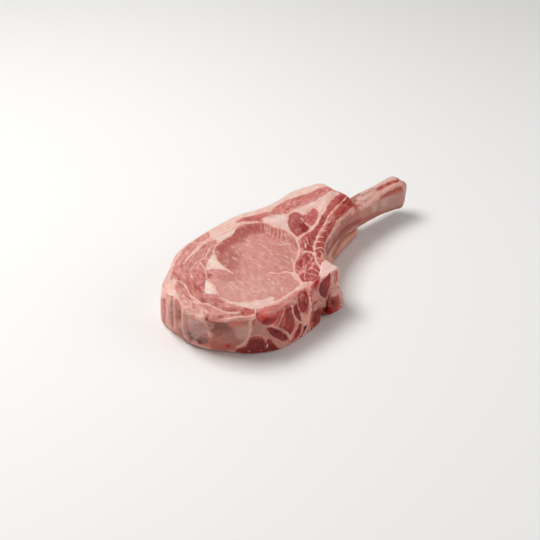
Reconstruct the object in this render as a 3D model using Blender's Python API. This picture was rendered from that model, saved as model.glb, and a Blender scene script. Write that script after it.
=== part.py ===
"""Raw veal rib chop with a frenched rib bone, lying on one of its two cut faces.

Three solids in metres, +Z up, with the origin under the middle of the chop on the face it rests on:
meat        the slab of lean and fat between the two cut faces
rib_bone    the curved rib, set in a channel along the hollow side and bare beyond the tail
chine_bone  the sawn corner of the backbone, with its two lobes

+X runs from the loin to the tip of the rib, and +Y towards the back fat.
"""

import math

import bmesh
import bpy
from mathutils import Matrix, Vector, geometry, noise

MM = 0.001

THICKNESS = 40.0  # between the two cut faces
JOIN_GAP = 0.15  # each piece stands back this far from a join, so two pieces are 0.3 apart

# Plans below are drawn about the eye and the rib, and the finished chop is moved by this much, so
# that the middle of the whole lies over the origin.
PLAN_SHIFT = (-1.05, 0.88)

# The outline of the chop, counterclockwise from the fat corner of the tail. Each row is one
# vertical line of the wall: x, y at the upper rim, then x, y at the foot.
WALL_LINES = [
    (59.4, 21.2, 66.5, 19.6),
    (49.0, 27.8, 56.0, 26.5),
    (36.0, 33.2, 42.0, 32.5),
    (22.0, 34.5, 24.0, 34.2),
    (7.0, 37.5, 8.0, 37.0),
    (-3.0, 42.2, -3.0, 41.5),
    (-13.0, 46.9, -13.0, 46.0),
    (-30.0, 49.8, -30.0, 49.0),
    (-50.0, 52.0, -50.0, 51.5),
    (-68.5, 52.4, -68.0, 51.5),
    (-82.4, 45.9, -83.0, 47.0),
    (-92.9, 40.2, -95.1, 44.5),
    (-102.3, 34.0, -103.7, 38.9),
    (-107.2, 22.3, -104.9, 28.4),
    (-107.8, 9.0, -106.3, 17.0),
    (-105.5, -4.0, -105.0, 5.5),
    (-99.8, -15.7, -101.0, -5.5),
    (-90.5, -27.0, -94.3, -17.0),
    (-80.5, -34.3, -87.2, -28.2),
    (-68.0, -39.3, -78.0, -37.6),
    (-55.0, -42.5, -67.1, -44.5),
    (-42.5, -44.8, -53.4, -47.8),
    (-32.0, -45.8, -38.8, -49.4),
    (-20.0, -47.6, -24.0, -49.6),
    (-10.0, -48.3, -8.0, -49.5),
    (-9.5, -41.5, -5.0, -43.5),
    (-8.0, -34.5, -5.5, -34.5),
    (-1.5, -29.0, 0.5, -28.5),
    (8.0, -23.3, 10.5, -23.3),
    (19.0, -19.6, 23.0, -20.0),
    (30.0, -17.0, 37.0, -17.7),
    (42.0, -15.8, 51.0, -16.2),
    (50.0, -17.6, 62.0, -15.6),
    (56.3, -11.7, 69.0, -11.0),
    (60.2, -2.4, 70.5, -2.0),
    (59.3, 8.0, 70.0, 8.5),
]
# Where each kind of wall begins, counted in wall lines.
FOLDS_START = 12.0
CHINE_START = 22.0
CHINE_END = 25.0
HOLLOW_START = 26.0
TAIL_START = 32.5

# Rounding of the rim in plan, from cut face to wall, for each kind of wall.
FAT_RIM = 5.0
FRONT_RIM = 2.6
CHINE_RIM = 1.6
HOLLOW_RIM = 2.0
TAIL_RIM = 1.5
FOOT_RIM = 2.2
RIM_DEPTH = 4.5  # height over which the upper rim rounds
EDGE_RELIEF = 0.35  # share of the relief that is left at the rim and at the foot

FINE_SPACING = 2.3  # wall columns on the folded front
COARSE_SPACING = 4.4  # wall columns elsewhere
TOP_LATTICE = 4.6
FOOT_LATTICE = 9.0
WALL_ROWS = 10  # rows of faces between the rounded rims
LENGTH_PARTS = 12  # straight pieces that measure the wall between two lines

# Folds, grooves and lobes of the wall: wall line and height at one end, the same at the other end,
# half width and height of the ridge. A groove has a negative height.
WALL_RELIEF = [
    (12.75, 38, 12.70, 2, 2.2, 1.0),
    (13.15, 38, 13.10, 4, 3.0, 1.7),
    (13.50, 38, 13.45, 3, 1.8, 0.9),
    (13.85, 38, 13.90, 4, 2.4, -2.0),
    (13.55, 5, 13.62, 0, 3.0, -1.6),
    (14.12, 40, 14.35, 4, 2.2, 1.4),
    (14.62, 16, 14.70, 3, 3.4, -1.4),
    (15.20, 40, 16.00, 2, 2.0, 1.2),
    (15.32, 38, 15.42, 33, 2.2, -1.6),
    (16.10, 31, 16.10, 17, 6.5, -1.2),
    (16.70, 36, 17.20, 34, 5.5, 1.6),
    (17.80, 37, 17.75, 3, 2.0, -1.2),
    (18.40, 34, 18.65, 29, 6.5, 3.2),
    (18.05, 26, 18.90, 20, 2.4, -1.4),
    (19.30, 35, 19.60, 17, 3.6, 1.5),
    (19.95, 35, 20.25, 15, 3.6, 1.5),
    (18.95, 23, 20.15, 3, 2.0, -1.1),
    (19.62, 33, 19.80, 16, 1.8, -1.0),
    (20.25, 34, 21.20, 10, 2.0, -1.2),
    (20.75, 36, 21.05, 25, 3.6, -2.2),
    (21.15, 40, 21.60, 4, 2.8, 1.2),
    (22.55, 33, 22.80, 25, 4.2, -1.0),
    (22.00, 14, 22.30, 8, 5.0, 1.2),
    (23.35, 8, 24.05, 7, 9.0, 5.8),
    (23.20, 21.5, 24.60, 20.5, 1.8, -1.6),
    (22.95, 20, 22.72, 10, 2.4, -1.8),
    (22.72, 8, 22.86, 0, 4.0, -5.2),
    (27.60, 9, 31.60, 9, 6.0, 1.6),
    (28.40, 7, 31.80, 3, 1.8, -0.8),
]

# The rib: points of its inner face in plan, from the chine to the tip.
RIB_FACE = [
    (-5.5, -33.2),
    (-0.5, -30.0),
    (8.0, -24.9),
    (19.0, -21.1),
    (30.0, -18.5),
    (42.0, -17.4),
    (55.0, -17.6),
    (65.0, -18.8),
    (75.0, -20.6),
    (85.0, -23.0),
    (95.0, -25.7),
    (103.0, -27.8),
    (108.6, -29.2),
]
# Width across, lower edge and upper edge of the rib at each of those points.
RIB_SECTIONS = [
    (8.0, 21.0, 32.0),
    (9.5, 19.5, 33.0),
    (11.0, 18.5, 33.5),
    (12.0, 18.0, 33.5),
    (12.5, 17.5, 33.5),
    (13.0, 15.8, 34.6),
    (14.0, 12.0, 36.8),
    (14.4, 10.8, 37.0),
    (14.6, 10.5, 36.4),
    (14.8, 10.2, 36.4),
    (15.0, 8.6, 38.0),
    (14.6, 7.4, 38.6),
    (13.0, 6.2, 36.0),
]
RIB_SIDES = 26
RIB_SQUARENESS = 4.2  # 2 is an ellipse, and higher numbers are nearer a rectangle
RIB_TIP_SQUARENESS = 3.3
RIB_STATIONS = 48
RIB_ROUND_END = 2.3  # length over which both ends round in
RIB_TOP_GROOVE = 1.6  # depth of the groove along the upper edge, near the tip
TIP_SLANT = 3.4  # how much shorter the rib is on its far side than on its inner face
BARE_START = 7.5  # where the scraped part begins, counted in points of the inner face
BARE_FULL = 9.5
SLANT_START = 10.3

# The corner of the backbone in plan, a little larger than the wall on its outer side.
CHINE_PLAN = [
    (-42.5, -55.0),
    (-41.5, -47.0),
    (-36.0, -43.6),
    (-28.5, -43.0),
    (-20.5, -39.6),
    (-15.5, -36.6),
    (-11.5, -35.6),
    (0.0, -37.0),
    (5.0, -48.0),
    (-4.0, -61.0),
    (-30.0, -61.0),
]
CHINE_LOW = -5.0  # below the foot, so that the bone is cut right through
CHINE_HIGH = 50.0
CHINE_SIDES = 40
CHINE_LEVELS = 8


def curve_point(points, at, closed):
    """Point of a smooth curve through the given rows of numbers, at a position counted in rows."""
    count = len(points)
    first = math.floor(at) if closed else min(max(math.floor(at), 0), count - 2)
    share = at - first
    rows = []
    for step in (-1, 0, 1, 2):
        index = first + step
        rows.append(points[index % count] if closed else points[min(max(index, 0), count - 1)])
    blended = []
    for before, start, end, after in zip(*rows):
        linear = end - before
        square = 2 * before - 5 * start + 4 * end - after
        cube = 3 * (start - end) + after - before
        blended.append(start + 0.5 * (linear * share + square * share**2 + cube * share**3))
    return blended


def ease(value, start, end):
    """0 before start, 1 after end, and a smooth step between."""
    share = min(max((value - start) / (end - start), 0.0), 1.0)
    return share * share * (3 - 2 * share)


def hump(distance, half_width):
    """1 at no distance, falling smoothly to 0 at the half width."""
    if distance >= half_width:
        return 0.0
    return 0.5 + 0.5 * math.cos(math.pi * distance / half_width)


def uneven(x, y, z, size):
    """Smooth unevenness between about -1 and 1, in lumps of the given size."""
    return noise.noise(Vector((x, y, z)) / size)


def wall_middle(line):
    """Point halfway up the wall, at a position counted in wall lines."""
    top_x, top_y, foot_x, foot_y = curve_point(WALL_LINES, line, closed=True)
    return Vector(((top_x + foot_x) / 2, (top_y + foot_y) / 2))


def wall_outward(line):
    ahead = wall_middle(line + 0.05) - wall_middle(line - 0.05)
    return Vector((ahead.y, -ahead.x)).normalized()


def wall_lengths():
    """Length along the middle of the wall up to each whole wall line."""
    lengths = [0.0]
    for line in range(len(WALL_LINES)):
        cuts = [wall_middle(line + i / LENGTH_PARTS) for i in range(LENGTH_PARTS + 1)]
        span = sum((b - a).length for a, b in zip(cuts, cuts[1:]))
        lengths.append(lengths[-1] + span)
    return lengths


LENGTHS = wall_lengths()


def along_wall(line):
    whole = min(int(line), len(WALL_LINES) - 1)
    return LENGTHS[whole] + (LENGTHS[whole + 1] - LENGTHS[whole]) * (line - whole)


def distance_to_segment(point, start, end):
    run = end - start
    share = (point - start).dot(run) / run.length_squared
    return (point - start - run * min(max(share, 0.0), 1.0)).length


def wall_relief(line, height):
    here = Vector((along_wall(line), height))
    total = 0.0
    for line_a, height_a, line_b, height_b, half_width, rise in WALL_RELIEF:
        start = Vector((along_wall(line_a), height_a))
        end = Vector((along_wall(line_b), height_b))
        total += rise * hump(distance_to_segment(here, start, end), half_width)
    return total


def rim_width(line):
    """Rounding of the upper rim, which is wide on the fat and tight on the sawn sides."""
    front = ease(line, FOLDS_START - 1, FOLDS_START + 1)
    chine = ease(line, CHINE_START - 0.5, CHINE_START + 0.5)
    hollow = ease(line, HOLLOW_START - 0.5, HOLLOW_START + 0.5)
    tail = ease(line, TAIL_START - 0.5, TAIL_START + 0.5)
    fat = ease(line, len(WALL_LINES) - 0.5, len(WALL_LINES)) + 1 - ease(line, 0.0, 1.0)
    width = FAT_RIM
    for size, share in (
        (FRONT_RIM, front),
        (CHINE_RIM, chine),
        (HOLLOW_RIM, hollow),
        (TAIL_RIM, tail),
        (TAIL_RIM, fat if line < 1.0 else 0.0),
    ):
        width += (size - width) * share
    return width


def rim_inset(line, height):
    """How far the wall stands back as it rounds into the two cut faces."""
    up = max(height - (THICKNESS - RIM_DEPTH), 0.0) / RIM_DEPTH
    down = max(FOOT_RIM - height, 0.0) / FOOT_RIM
    upper = rim_width(line) * (1 - math.sqrt(max(1 - up * up, 0.0)))
    lower = FOOT_RIM * (1 - math.sqrt(max(1 - down * down, 0.0)))
    return upper + lower


def wall_point(line, height):
    top_x, top_y, foot_x, foot_y = curve_point(WALL_LINES, line, closed=True)
    share = height / THICKNESS
    x = foot_x + (top_x - foot_x) * share
    y = foot_y + (top_y - foot_y) * share
    soft = 1 - ease(line, CHINE_START - 1, CHINE_START) + ease(line, TAIL_START, TAIL_START + 1)
    belly = 1.3 * soft * math.sin(math.pi * share)
    inner = ease(height, 0.5, 4.0) * (1 - ease(height, THICKNESS - 2.0, THICKNESS))
    sawn = ease(line, CHINE_START, CHINE_START + 0.5) * (1 - ease(line, CHINE_END - 0.2, CHINE_END + 0.2))
    kept = EDGE_RELIEF + (1 - EDGE_RELIEF) * max(inner, sawn)
    out = belly - rim_inset(line, height) + wall_relief(line, height) * kept
    out += 0.5 * uneven(x, y, height, 9.0) * inner
    point = Vector((x, y)) + wall_outward(line) * out
    return Vector((point.x, point.y, height))


# The round eye of lean in the upper face: centre and half axes, and how far it domes.
EYE = (-45.0, 2.0, 40.0, 27.0)
EYE_DOME = 0.7


def top_height(x, y):
    """The upper cut face: the eye domes a little and the rest is uneven."""
    across = math.hypot((x - EYE[0]) / EYE[2], (y - EYE[1]) / EYE[3])
    return EYE_DOME * hump(across, 1.0) + 0.35 * uneven(x, y, 3.0, 11.0)


def wall_columns():
    """Positions of the wall's columns, close together on the folded front and the chine."""
    columns = []
    for line in range(len(WALL_LINES)):
        span = LENGTHS[line + 1] - LENGTHS[line]
        fine = FOLDS_START <= line < HOLLOW_START
        parts = max(1, round(span / (FINE_SPACING if fine else COARSE_SPACING)))
        columns += [line + i / parts for i in range(parts)]
    return columns


def wall_heights():
    low = [0.0, 0.35, 1.2]
    high = [THICKNESS - 3.2, THICKNESS - 1.9, THICKNESS - 0.8, THICKNESS]
    start, end = 3.2, THICKNESS - 4.6
    middle = [start + (end - start) * i / WALL_ROWS for i in range(WALL_ROWS + 1)]
    return low + middle + high


def lattice(spacing, corner_a, corner_b):
    """Points of a triangular lattice that covers a rectangle."""
    row_height = spacing * math.sqrt(0.75)
    rows = int((corner_b.y - corner_a.y) / row_height) + 1
    in_row = int((corner_b.x - corner_a.x) / spacing) + 1
    for row in range(rows):
        shift = spacing / 2 if row % 2 else 0.0
        for i in range(in_row):
            yield Vector((corner_a.x + shift + i * spacing, corner_a.y + row * row_height))


def inside(point, ring):
    """Whether a point lies in a ring of points, by counting the sides to its right."""
    found = False
    for a, b in zip(ring, ring[1:] + ring[:1]):
        if (a.y > point.y) != (b.y > point.y):
            if point.x < a.x + (b.x - a.x) * (point.y - a.y) / (b.y - a.y):
                found = not found
    return found


def clearance(point, ring):
    return min(distance_to_segment(point, a, b) for a, b in zip(ring, ring[1:] + ring[:1]))


def fill_face(bm, ring, spacing, height_of, upwards):
    """Closes a ring of vertices with triangles over a lattice of inner points."""
    plan = [vert.co.xy for vert in ring]
    low = Vector((min(p.x for p in plan), min(p.y for p in plan)))
    high = Vector((max(p.x for p in plan), max(p.y for p in plan)))
    extra = [
        p for p in lattice(spacing, low, high) if inside(p, plan) and clearance(p, plan) > spacing * 0.6
    ]
    sides = [(i, (i + 1) % len(plan)) for i in range(len(plan))]
    points, _, triangles, origins, _, _ = geometry.delaunay_2d_cdt(plan + extra, sides, [], 1, 1e-5)
    verts = []
    for point, origin in zip(points, origins):
        if origin and origin[0] < len(ring):
            verts.append(ring[origin[0]])
        else:
            verts.append(bm.verts.new((point.x, point.y, height_of(point.x, point.y))))
    for triangle in triangles:
        corners = [verts[i] for i in triangle]
        turn = (corners[1].co - corners[0].co).cross(corners[2].co - corners[0].co).z
        bm.faces.new(corners if (turn > 0) == upwards else corners[::-1])


def new_object(name, bm, material):
    mesh = bpy.data.meshes.new(name)
    bm.to_mesh(mesh)
    bm.free()
    shift = Matrix.Translation((PLAN_SHIFT[0], PLAN_SHIFT[1], 0))
    mesh.transform(Matrix.Scale(MM, 4) @ shift)
    mesh.shade_smooth()
    if material is not None:
        mesh.materials.append(material)
    obj = bpy.data.objects.new(name, mesh)
    bpy.context.scene.collection.objects.link(obj)
    return obj


def make_material(name, colour, roughness):
    material = bpy.data.materials.new(name)
    material.use_nodes = True
    shader = material.node_tree.nodes["Principled BSDF"]
    shader.inputs["Base Color"].default_value = (*colour, 1.0)
    shader.inputs["Roughness"].default_value = roughness
    shader.inputs["Metallic"].default_value = 0.0
    return material


def make_chop(name, material):
    """The whole slab between the cut faces, with the chine corner still in it."""
    bm = bmesh.new()
    columns = wall_columns()
    rings = []
    for height in wall_heights():
        rings.append([bm.verts.new(wall_point(line, height)) for line in columns])
    for vert in rings[-1]:
        vert.co.z += 0.5 * top_height(vert.co.x, vert.co.y)
    for lower, upper in zip(rings, rings[1:]):
        for i in range(len(columns)):
            j = (i + 1) % len(columns)
            bm.faces.new((lower[i], lower[j], upper[j], upper[i]))
    fill_face(bm, rings[-1], TOP_LATTICE, lambda x, y: THICKNESS + top_height(x, y), upwards=True)
    fill_face(bm, rings[0], FOOT_LATTICE, lambda x, y: 0.0, upwards=False)
    return new_object(name, bm, material)


def rib_frame(at):
    """Middle of the rib, its sideways direction and its sizes, at a position counted in face points."""
    face = Vector(curve_point(RIB_FACE, at, closed=False))
    step = 0.05
    ahead = Vector(curve_point(RIB_FACE, min(at + step, len(RIB_FACE) - 1), closed=False))
    behind = Vector(curve_point(RIB_FACE, max(at - step, 0.0), closed=False))
    run = (ahead - behind).normalized()
    outward = Vector((-run.y, run.x))
    width, low, high = curve_point(RIB_SECTIONS, at, closed=False)
    return face + outward * width / 2, run, outward, width, low, high


def rib_ring(at, grow, shrink):
    """One closed section of the rib, a rounded rectangle with its lengthwise grooves."""
    middle, run, outward, width, low, high = rib_frame(at)
    half_width = (width / 2 + grow) * shrink
    half_height = ((high - low) / 2 + grow) * shrink
    centre_height = (high + low) / 2
    tip = ease(at, BARE_START, BARE_FULL)
    squareness = RIB_SQUARENESS + (RIB_TIP_SQUARENESS - RIB_SQUARENESS) * tip
    ring = []
    for i in range(RIB_SIDES):
        angle = 2 * math.pi * (i + 0.5) / RIB_SIDES
        side, up = math.cos(angle), math.sin(angle)
        square = (abs(side) ** squareness + abs(up) ** squareness) ** (-1 / squareness)
        across, above = side * square, up * square
        groove = RIB_TOP_GROOVE * tip * hump(abs(across + 0.1), 0.6) * ease(above, 0.6, 0.95)
        hollow = 0.5 * hump(abs(above), 0.8) * ease(-across, 0.5, 0.95)
        plan = middle + outward * (across * half_width + hollow)
        plan -= run * (TIP_SLANT * ease(at, SLANT_START, len(RIB_FACE) - 1) * (across + 1) / 2)
        bump = 0.35 * uneven(plan.x, plan.y, above * 12, 6.0) * ease(at, BARE_START - 1, BARE_START)
        height = centre_height + above * (half_height + bump) - groove
        ring.append(Vector((plan.x, plan.y, height)))
    return ring


def make_rib(name, grow, material):
    """The rib, or with grow above 0 the tool that cuts its channel in the meat."""
    bm = bmesh.new()
    last = len(RIB_FACE) - 1
    rings = []
    for station in range(RIB_STATIONS + 1):
        at = last * station / RIB_STATIONS
        rings.append([bm.verts.new(point) for point in rib_ring(at, grow, 1.0)])
    for end, order in ((0.0, 0), (float(last), -1)):
        _, run, *_ = rib_frame(end)
        away = Vector((run.x, run.y, 0)) * (RIB_ROUND_END + grow) * (1 if end else -1)
        for share, shrink in ((0.45, 0.94), (0.85, 0.78), (1.0, 0.5)):
            ring = [bm.verts.new(point + away * share) for point in rib_ring(end, grow, shrink)]
            rings.insert(len(rings) if order else 0, ring)
    for near, far in zip(rings, rings[1:]):
        for i in range(RIB_SIDES):
            j = (i + 1) % RIB_SIDES
            bm.faces.new((near[i], far[i], far[j], near[j]))
    bm.faces.new(rings[0])
    bm.faces.new(rings[-1][::-1])
    bmesh.ops.recalc_face_normals(bm, faces=bm.faces)
    bmesh.ops.triangulate(bm, faces=[face for face in bm.faces if len(face.verts) > 4])
    return new_object(name, bm, material)


def make_chine_tool(name, grow):
    """The upright block that divides the chine bone from the meat, larger by grow all round."""
    bm = bmesh.new()
    count = len(CHINE_PLAN)
    ring = []
    for i in range(CHINE_SIDES):
        at = i * count / CHINE_SIDES
        point = Vector(curve_point(CHINE_PLAN, at, closed=True))
        ahead = Vector(curve_point(CHINE_PLAN, at + 0.05, closed=True))
        run = (ahead - point).normalized()
        ring.append(point + Vector((-run.y, run.x)) * grow)
    rings = []
    for level in range(CHINE_LEVELS + 1):
        height = CHINE_LOW + (CHINE_HIGH - CHINE_LOW) * level / CHINE_LEVELS
        sway = 0.8 * math.sin(level * 1.7)
        rings.append([bm.verts.new((p.x + sway, p.y, height)) for p in ring])
    for lower, upper in zip(rings, rings[1:]):
        for i in range(CHINE_SIDES):
            j = (i + 1) % CHINE_SIDES
            bm.faces.new((lower[i], lower[j], upper[j], upper[i]))
    bm.faces.new(rings[0][::-1])
    bm.faces.new(rings[-1])
    bmesh.ops.recalc_face_normals(bm, faces=bm.faces)
    return new_object(name, bm, None)


def hide_tool(obj):
    obj.hide_render = True
    obj.display_type = "WIRE"


def add_boolean(obj, operation, tool):
    modifier = obj.modifiers.new(tool.name, "BOOLEAN")
    modifier.operation = operation
    modifier.object = tool
    modifier.solver = "EXACT"


def main():
    for obj in list(bpy.data.objects):
        bpy.data.objects.remove(obj)

    lean = make_material("raw_veal", (0.62, 0.24, 0.21), 0.42)
    rib = make_material("scraped_rib", (0.66, 0.44, 0.38), 0.5)
    chine = make_material("sawn_backbone", (0.55, 0.26, 0.24), 0.5)

    meat = make_chop("meat", lean)
    chine_bone = make_chop("chine_bone", chine)
    make_rib("rib_bone", 0.0, rib)

    channel_tool = make_rib("channel_tool", 2 * JOIN_GAP, None)
    pocket_tool = make_chine_tool("pocket_tool", JOIN_GAP)
    corner_tool = make_chine_tool("corner_tool", -JOIN_GAP)
    for tool in (channel_tool, pocket_tool, corner_tool):
        hide_tool(tool)

    add_boolean(meat, "DIFFERENCE", channel_tool)
    add_boolean(meat, "DIFFERENCE", pocket_tool)
    add_boolean(chine_bone, "INTERSECT", corner_tool)


main()
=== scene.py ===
# %% [markdown]
# # Raw veal rib chop
#
# A thick chop lies on one of its two cut faces. The rib has been scraped bare beyond the tail,
# and a sawn corner of the backbone is left on the near side. The solids already have its form.
# This lesson gives them a skin: the pattern of lean, fat and seams, the folds of the outside,
# the moist gloss, and a soft light to see it by.

# %% The fixed model
import math

import bmesh
import bpy
import numpy as np
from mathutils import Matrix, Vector, noise
from mathutils.bvhtree import BVHTree


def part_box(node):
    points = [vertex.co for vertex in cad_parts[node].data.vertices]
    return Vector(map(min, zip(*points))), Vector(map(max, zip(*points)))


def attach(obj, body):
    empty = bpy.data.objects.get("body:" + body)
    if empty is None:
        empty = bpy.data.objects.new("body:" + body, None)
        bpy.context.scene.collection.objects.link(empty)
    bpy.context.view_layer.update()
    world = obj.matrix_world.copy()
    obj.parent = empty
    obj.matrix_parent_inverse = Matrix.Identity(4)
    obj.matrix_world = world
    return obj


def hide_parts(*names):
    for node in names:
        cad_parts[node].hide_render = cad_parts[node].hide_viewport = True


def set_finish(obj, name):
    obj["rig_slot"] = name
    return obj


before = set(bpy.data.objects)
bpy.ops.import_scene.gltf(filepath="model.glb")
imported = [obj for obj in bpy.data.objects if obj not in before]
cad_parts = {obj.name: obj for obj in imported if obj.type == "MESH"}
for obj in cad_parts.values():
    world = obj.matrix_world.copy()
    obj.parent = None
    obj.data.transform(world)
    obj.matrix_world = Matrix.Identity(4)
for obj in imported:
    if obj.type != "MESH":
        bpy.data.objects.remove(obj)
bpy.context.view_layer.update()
MM = 0.001
print("nodes:", ", ".join(sorted(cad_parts)))

# %% [markdown]
# ## Colours
#
# Colours are written as the six-figure values that a paint program shows. A renderer adds light,
# so it needs them linear, and one function turns them.


# %% From a picture's colour to a renderer's
def linear(hex_colour):
    parts = [int(hex_colour[i : i + 2], 16) / 255 for i in (0, 2, 4)]
    return np.array([p / 12.92 if p <= 0.04045 else ((p + 0.055) / 1.055) ** 2.4 for p in parts])


print("pale fat is", linear("e9d2c7").round(3))

# %% [markdown]
# ## The eye that looks at the chop
#
# The pattern of a cut of meat follows no rule that a formula could give: each seam has its own
# course. A maker who copies one looks from one place, and marks each seam where it is seen. So
# the viewpoint comes first, and it is also where the camera stands later. Marks are counted on
# a picture of the chop that is five times as fine as the finished one, from its upper left corner.

# %% The viewpoint
FRAME_SIDE = 540
LENS_MM = 50.0
FILM_MM = 36.0
FOCAL = FRAME_SIDE * LENS_MM / FILM_MM
LOOK_AT = Vector((-0.01293, 0.01492, 0.0))
ELEVATION = math.radians(44.0)
HEADING = math.radians(50.0)
DISTANCE = 0.580
MARKS_PER_PIXEL = 5
MARKS_FROM = (150, 170)

level = Vector((math.sin(HEADING), math.cos(HEADING), 0))
forward = level * math.cos(ELEVATION) - Vector((0, 0, 1)) * math.sin(ELEVATION)
eye_point = LOOK_AT - forward * DISTANCE
right = Vector((math.cos(HEADING), -math.sin(HEADING), 0))
upward = right.cross(forward)


def marks_of(points):
    """Where points of the chop are seen, in marks."""
    away = np.asarray(points) - np.array(eye_point)
    depth = away @ np.array(forward)
    across = FRAME_SIDE / 2 + FOCAL * (away @ np.array(right)) / depth
    down = FRAME_SIDE / 2 - FOCAL * (away @ np.array(upward)) / depth
    seen = np.stack([across - MARKS_FROM[0], down - MARKS_FROM[1]], axis=-1)
    return seen * MARKS_PER_PIXEL


print("the eye stands at", [round(c, 3) for c in eye_point])

# %% [markdown]
# ## A fine skin over each solid
#
# The solids have flat facets a few millimetres wide, which is enough for handling but too coarse
# for seams. Each is copied, merged into one surface, remeshed in small even squares and smoothed.
# The squares that look towards the eye point are then divided once more, because the seams there
# are hardly a millimetre wide. Folds come afterwards, since remeshing would rub them off.

# %% Copy, remesh, smooth and divide
SKIN_STEP = {"meat": 1.15 * MM, "rib_bone": 0.9 * MM, "chine_bone": 0.8 * MM}
SMOOTH_ROUNDS = {"meat": 3, "rib_bone": 3, "chine_bone": 2}
SMOOTH_AGAIN = 2
MERGE_WITHIN = 0.01 * MM


def smooth(bm, rounds):
    for _ in range(rounds):
        bmesh.ops.smooth_vert(
            bm, verts=bm.verts, factor=0.5, use_axis_x=True, use_axis_y=True, use_axis_z=True
        )


def make_skin(node, name):
    piece = bpy.data.objects.new(name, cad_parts[node].data.copy())
    bpy.context.scene.collection.objects.link(piece)
    bm = bmesh.new()
    bm.from_mesh(piece.data)
    bmesh.ops.remove_doubles(bm, verts=bm.verts, dist=MERGE_WITHIN)
    bm.to_mesh(piece.data)
    bm.free()
    remesh = piece.modifiers.new("even squares", "REMESH")
    remesh.mode = "VOXEL"
    remesh.voxel_size = SKIN_STEP[node]
    graph = bpy.context.evaluated_depsgraph_get()
    fine = bpy.data.meshes.new_from_object(piece.evaluated_get(graph))
    piece.modifiers.clear()
    bm = bmesh.new()
    bm.from_mesh(fine)
    smooth(bm, SMOOTH_ROUNDS[node])
    bm.normal_update()
    facing = [f for f in bm.faces if f.normal.dot(eye_point - f.calc_center_median()) > 0]
    edges = list(dict.fromkeys(e for f in facing for e in f.edges))
    bmesh.ops.subdivide_edges(bm, edges=edges, cuts=1, use_grid_fill=True)
    smooth(bm, SMOOTH_AGAIN)
    bm.to_mesh(fine)
    bm.free()
    piece.data = fine
    piece.data.name = name
    piece.data.materials.clear()
    fine.shade_smooth()
    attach(piece, "root")
    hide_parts(node)
    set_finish(piece, node)
    fine.calc_loop_triangles()
    print(name, "has", len(fine.vertices), "points and", len(fine.loop_triangles), "triangles")
    return piece


meat = make_skin("meat", "meat_skin")
rib = make_skin("rib_bone", "rib_skin")
chine = make_skin("chine_bone", "chine_skin")

# %% [markdown]
# ## The lobe under the backbone
#
# Below the sawn corner hangs a small round knob. Its solid ends in a corner there, a little too
# far to the right of where the knob is seen. A carver would shave it off. Here the skin is drawn
# in, most at the corner and less with the distance from it, which keeps it inside the solid's box.

# %% Draw the lobe in
MM_PER_MARK = 0.17
LOBE_CORNER = (980, 645)
LOBE_INWARD = 16
LOBE_SPAN = (45, 34)


def step(low, high, value):
    """0 below low, 1 above high, and an even curve between."""
    t = np.clip((value - low) / (high - low), 0, 1)
    return t * t * (3 - 2 * t)


def numbers(collection, name):
    """Three numbers for each item of a mesh, such as its place or its normal."""
    out = np.empty(len(collection) * 3)
    collection.foreach_get(name, out)
    return out.reshape(-1, 3)


def round_lobe(piece):
    points = numbers(piece.data.vertices, "co")
    across, down = marks_of(points).T
    near = step(LOBE_CORNER[0] - LOBE_SPAN[0], LOBE_CORNER[0], across)
    near *= np.exp(-(((down - LOBE_CORNER[1]) / LOBE_SPAN[1]) ** 2))
    inward = near * LOBE_INWARD * MM_PER_MARK
    points -= np.array(right) * (inward * MM)[:, None]
    piece.data.vertices.foreach_set("co", points.ravel())
    piece.data.update()
    print("the lobe's corner is drawn in by", round(float(inward.max()), 1), "mm")


round_lobe(chine)

# %% [markdown]
# ## A canvas on the skin
#
# Paint is kept at the skin's points. Each point knows the mark at which it is seen. A point that
# the eye can't see, on the back or underneath, takes the mark of the place above it on the upper
# cut face instead. A muscle runs right through a chop, so its seams go straight down, and the
# lower cut face shows nearly the same pattern. Where the two meet, one fades into the other.
#
# A canvas holds the colours of lean and of fat at every point, how far the point lies inside fat,
# how much marbling there is, how rough the surface is, and how far it is raised.

# %% What the eye sees
CLEAR = 0.6 * MM
GRAZING = 0.12


def spread(values, mesh, rounds):
    """Evens values out between neighbouring points."""
    ends = np.empty(len(mesh.edges) * 2, np.int32)
    mesh.edges.foreach_get("vertices", ends)
    a, b = ends.reshape(-1, 2).T
    count = np.bincount(a, minlength=len(values)) + np.bincount(b, minlength=len(values))
    for _ in range(rounds):
        near = np.bincount(a, values[b], len(values)) + np.bincount(b, values[a], len(values))
        values = 0.5 * values + 0.5 * near / np.maximum(count, 1)
    return values


def sight_tree(pieces):
    """The faces of some pieces, ready to be asked what lies near or in the way."""
    points, faces = [], []
    for piece in pieces:
        first = len(points)
        points += [v.co.copy() for v in piece.data.vertices]
        faces += [[first + i for i in p.vertices] for p in piece.data.polygons]
    print("a sight tree of", len(faces), "faces")
    return BVHTree.FromPolygons(points, faces)


SIGHT = sight_tree([meat, rib, chine])


def sight(piece):
    """For every point: 1 where the eye sees it, 0 where it can't."""
    points = numbers(piece.data.vertices, "co")
    normals = numbers(piece.data.vertex_normals, "vector")
    to_eye = np.array(eye_point) - points
    to_eye /= np.linalg.norm(to_eye, axis=1)[:, None]
    facing = (normals * to_eye).sum(1)
    seen = step(0.0, GRAZING, facing)
    for i in np.flatnonzero(facing > 0):
        start = Vector(points[i] + normals[i] * CLEAR)
        if SIGHT.ray_cast(start, Vector(to_eye[i]))[0] is not None:
            seen[i] = 0
    return spread(seen, piece.data, 2)


# %% A new canvas
THICKNESS = 40 * MM
DEEPEST = 3.0  # mm: the distance to the edge of the fat is kept as far as this
NOISE_TO_ONE = 1.6
WIDTHS_VARY = 0.6
WOBBLES = ((2.6 * MM, 2.6, 3.1), (8 * MM, 3.0, 7.7))


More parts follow.
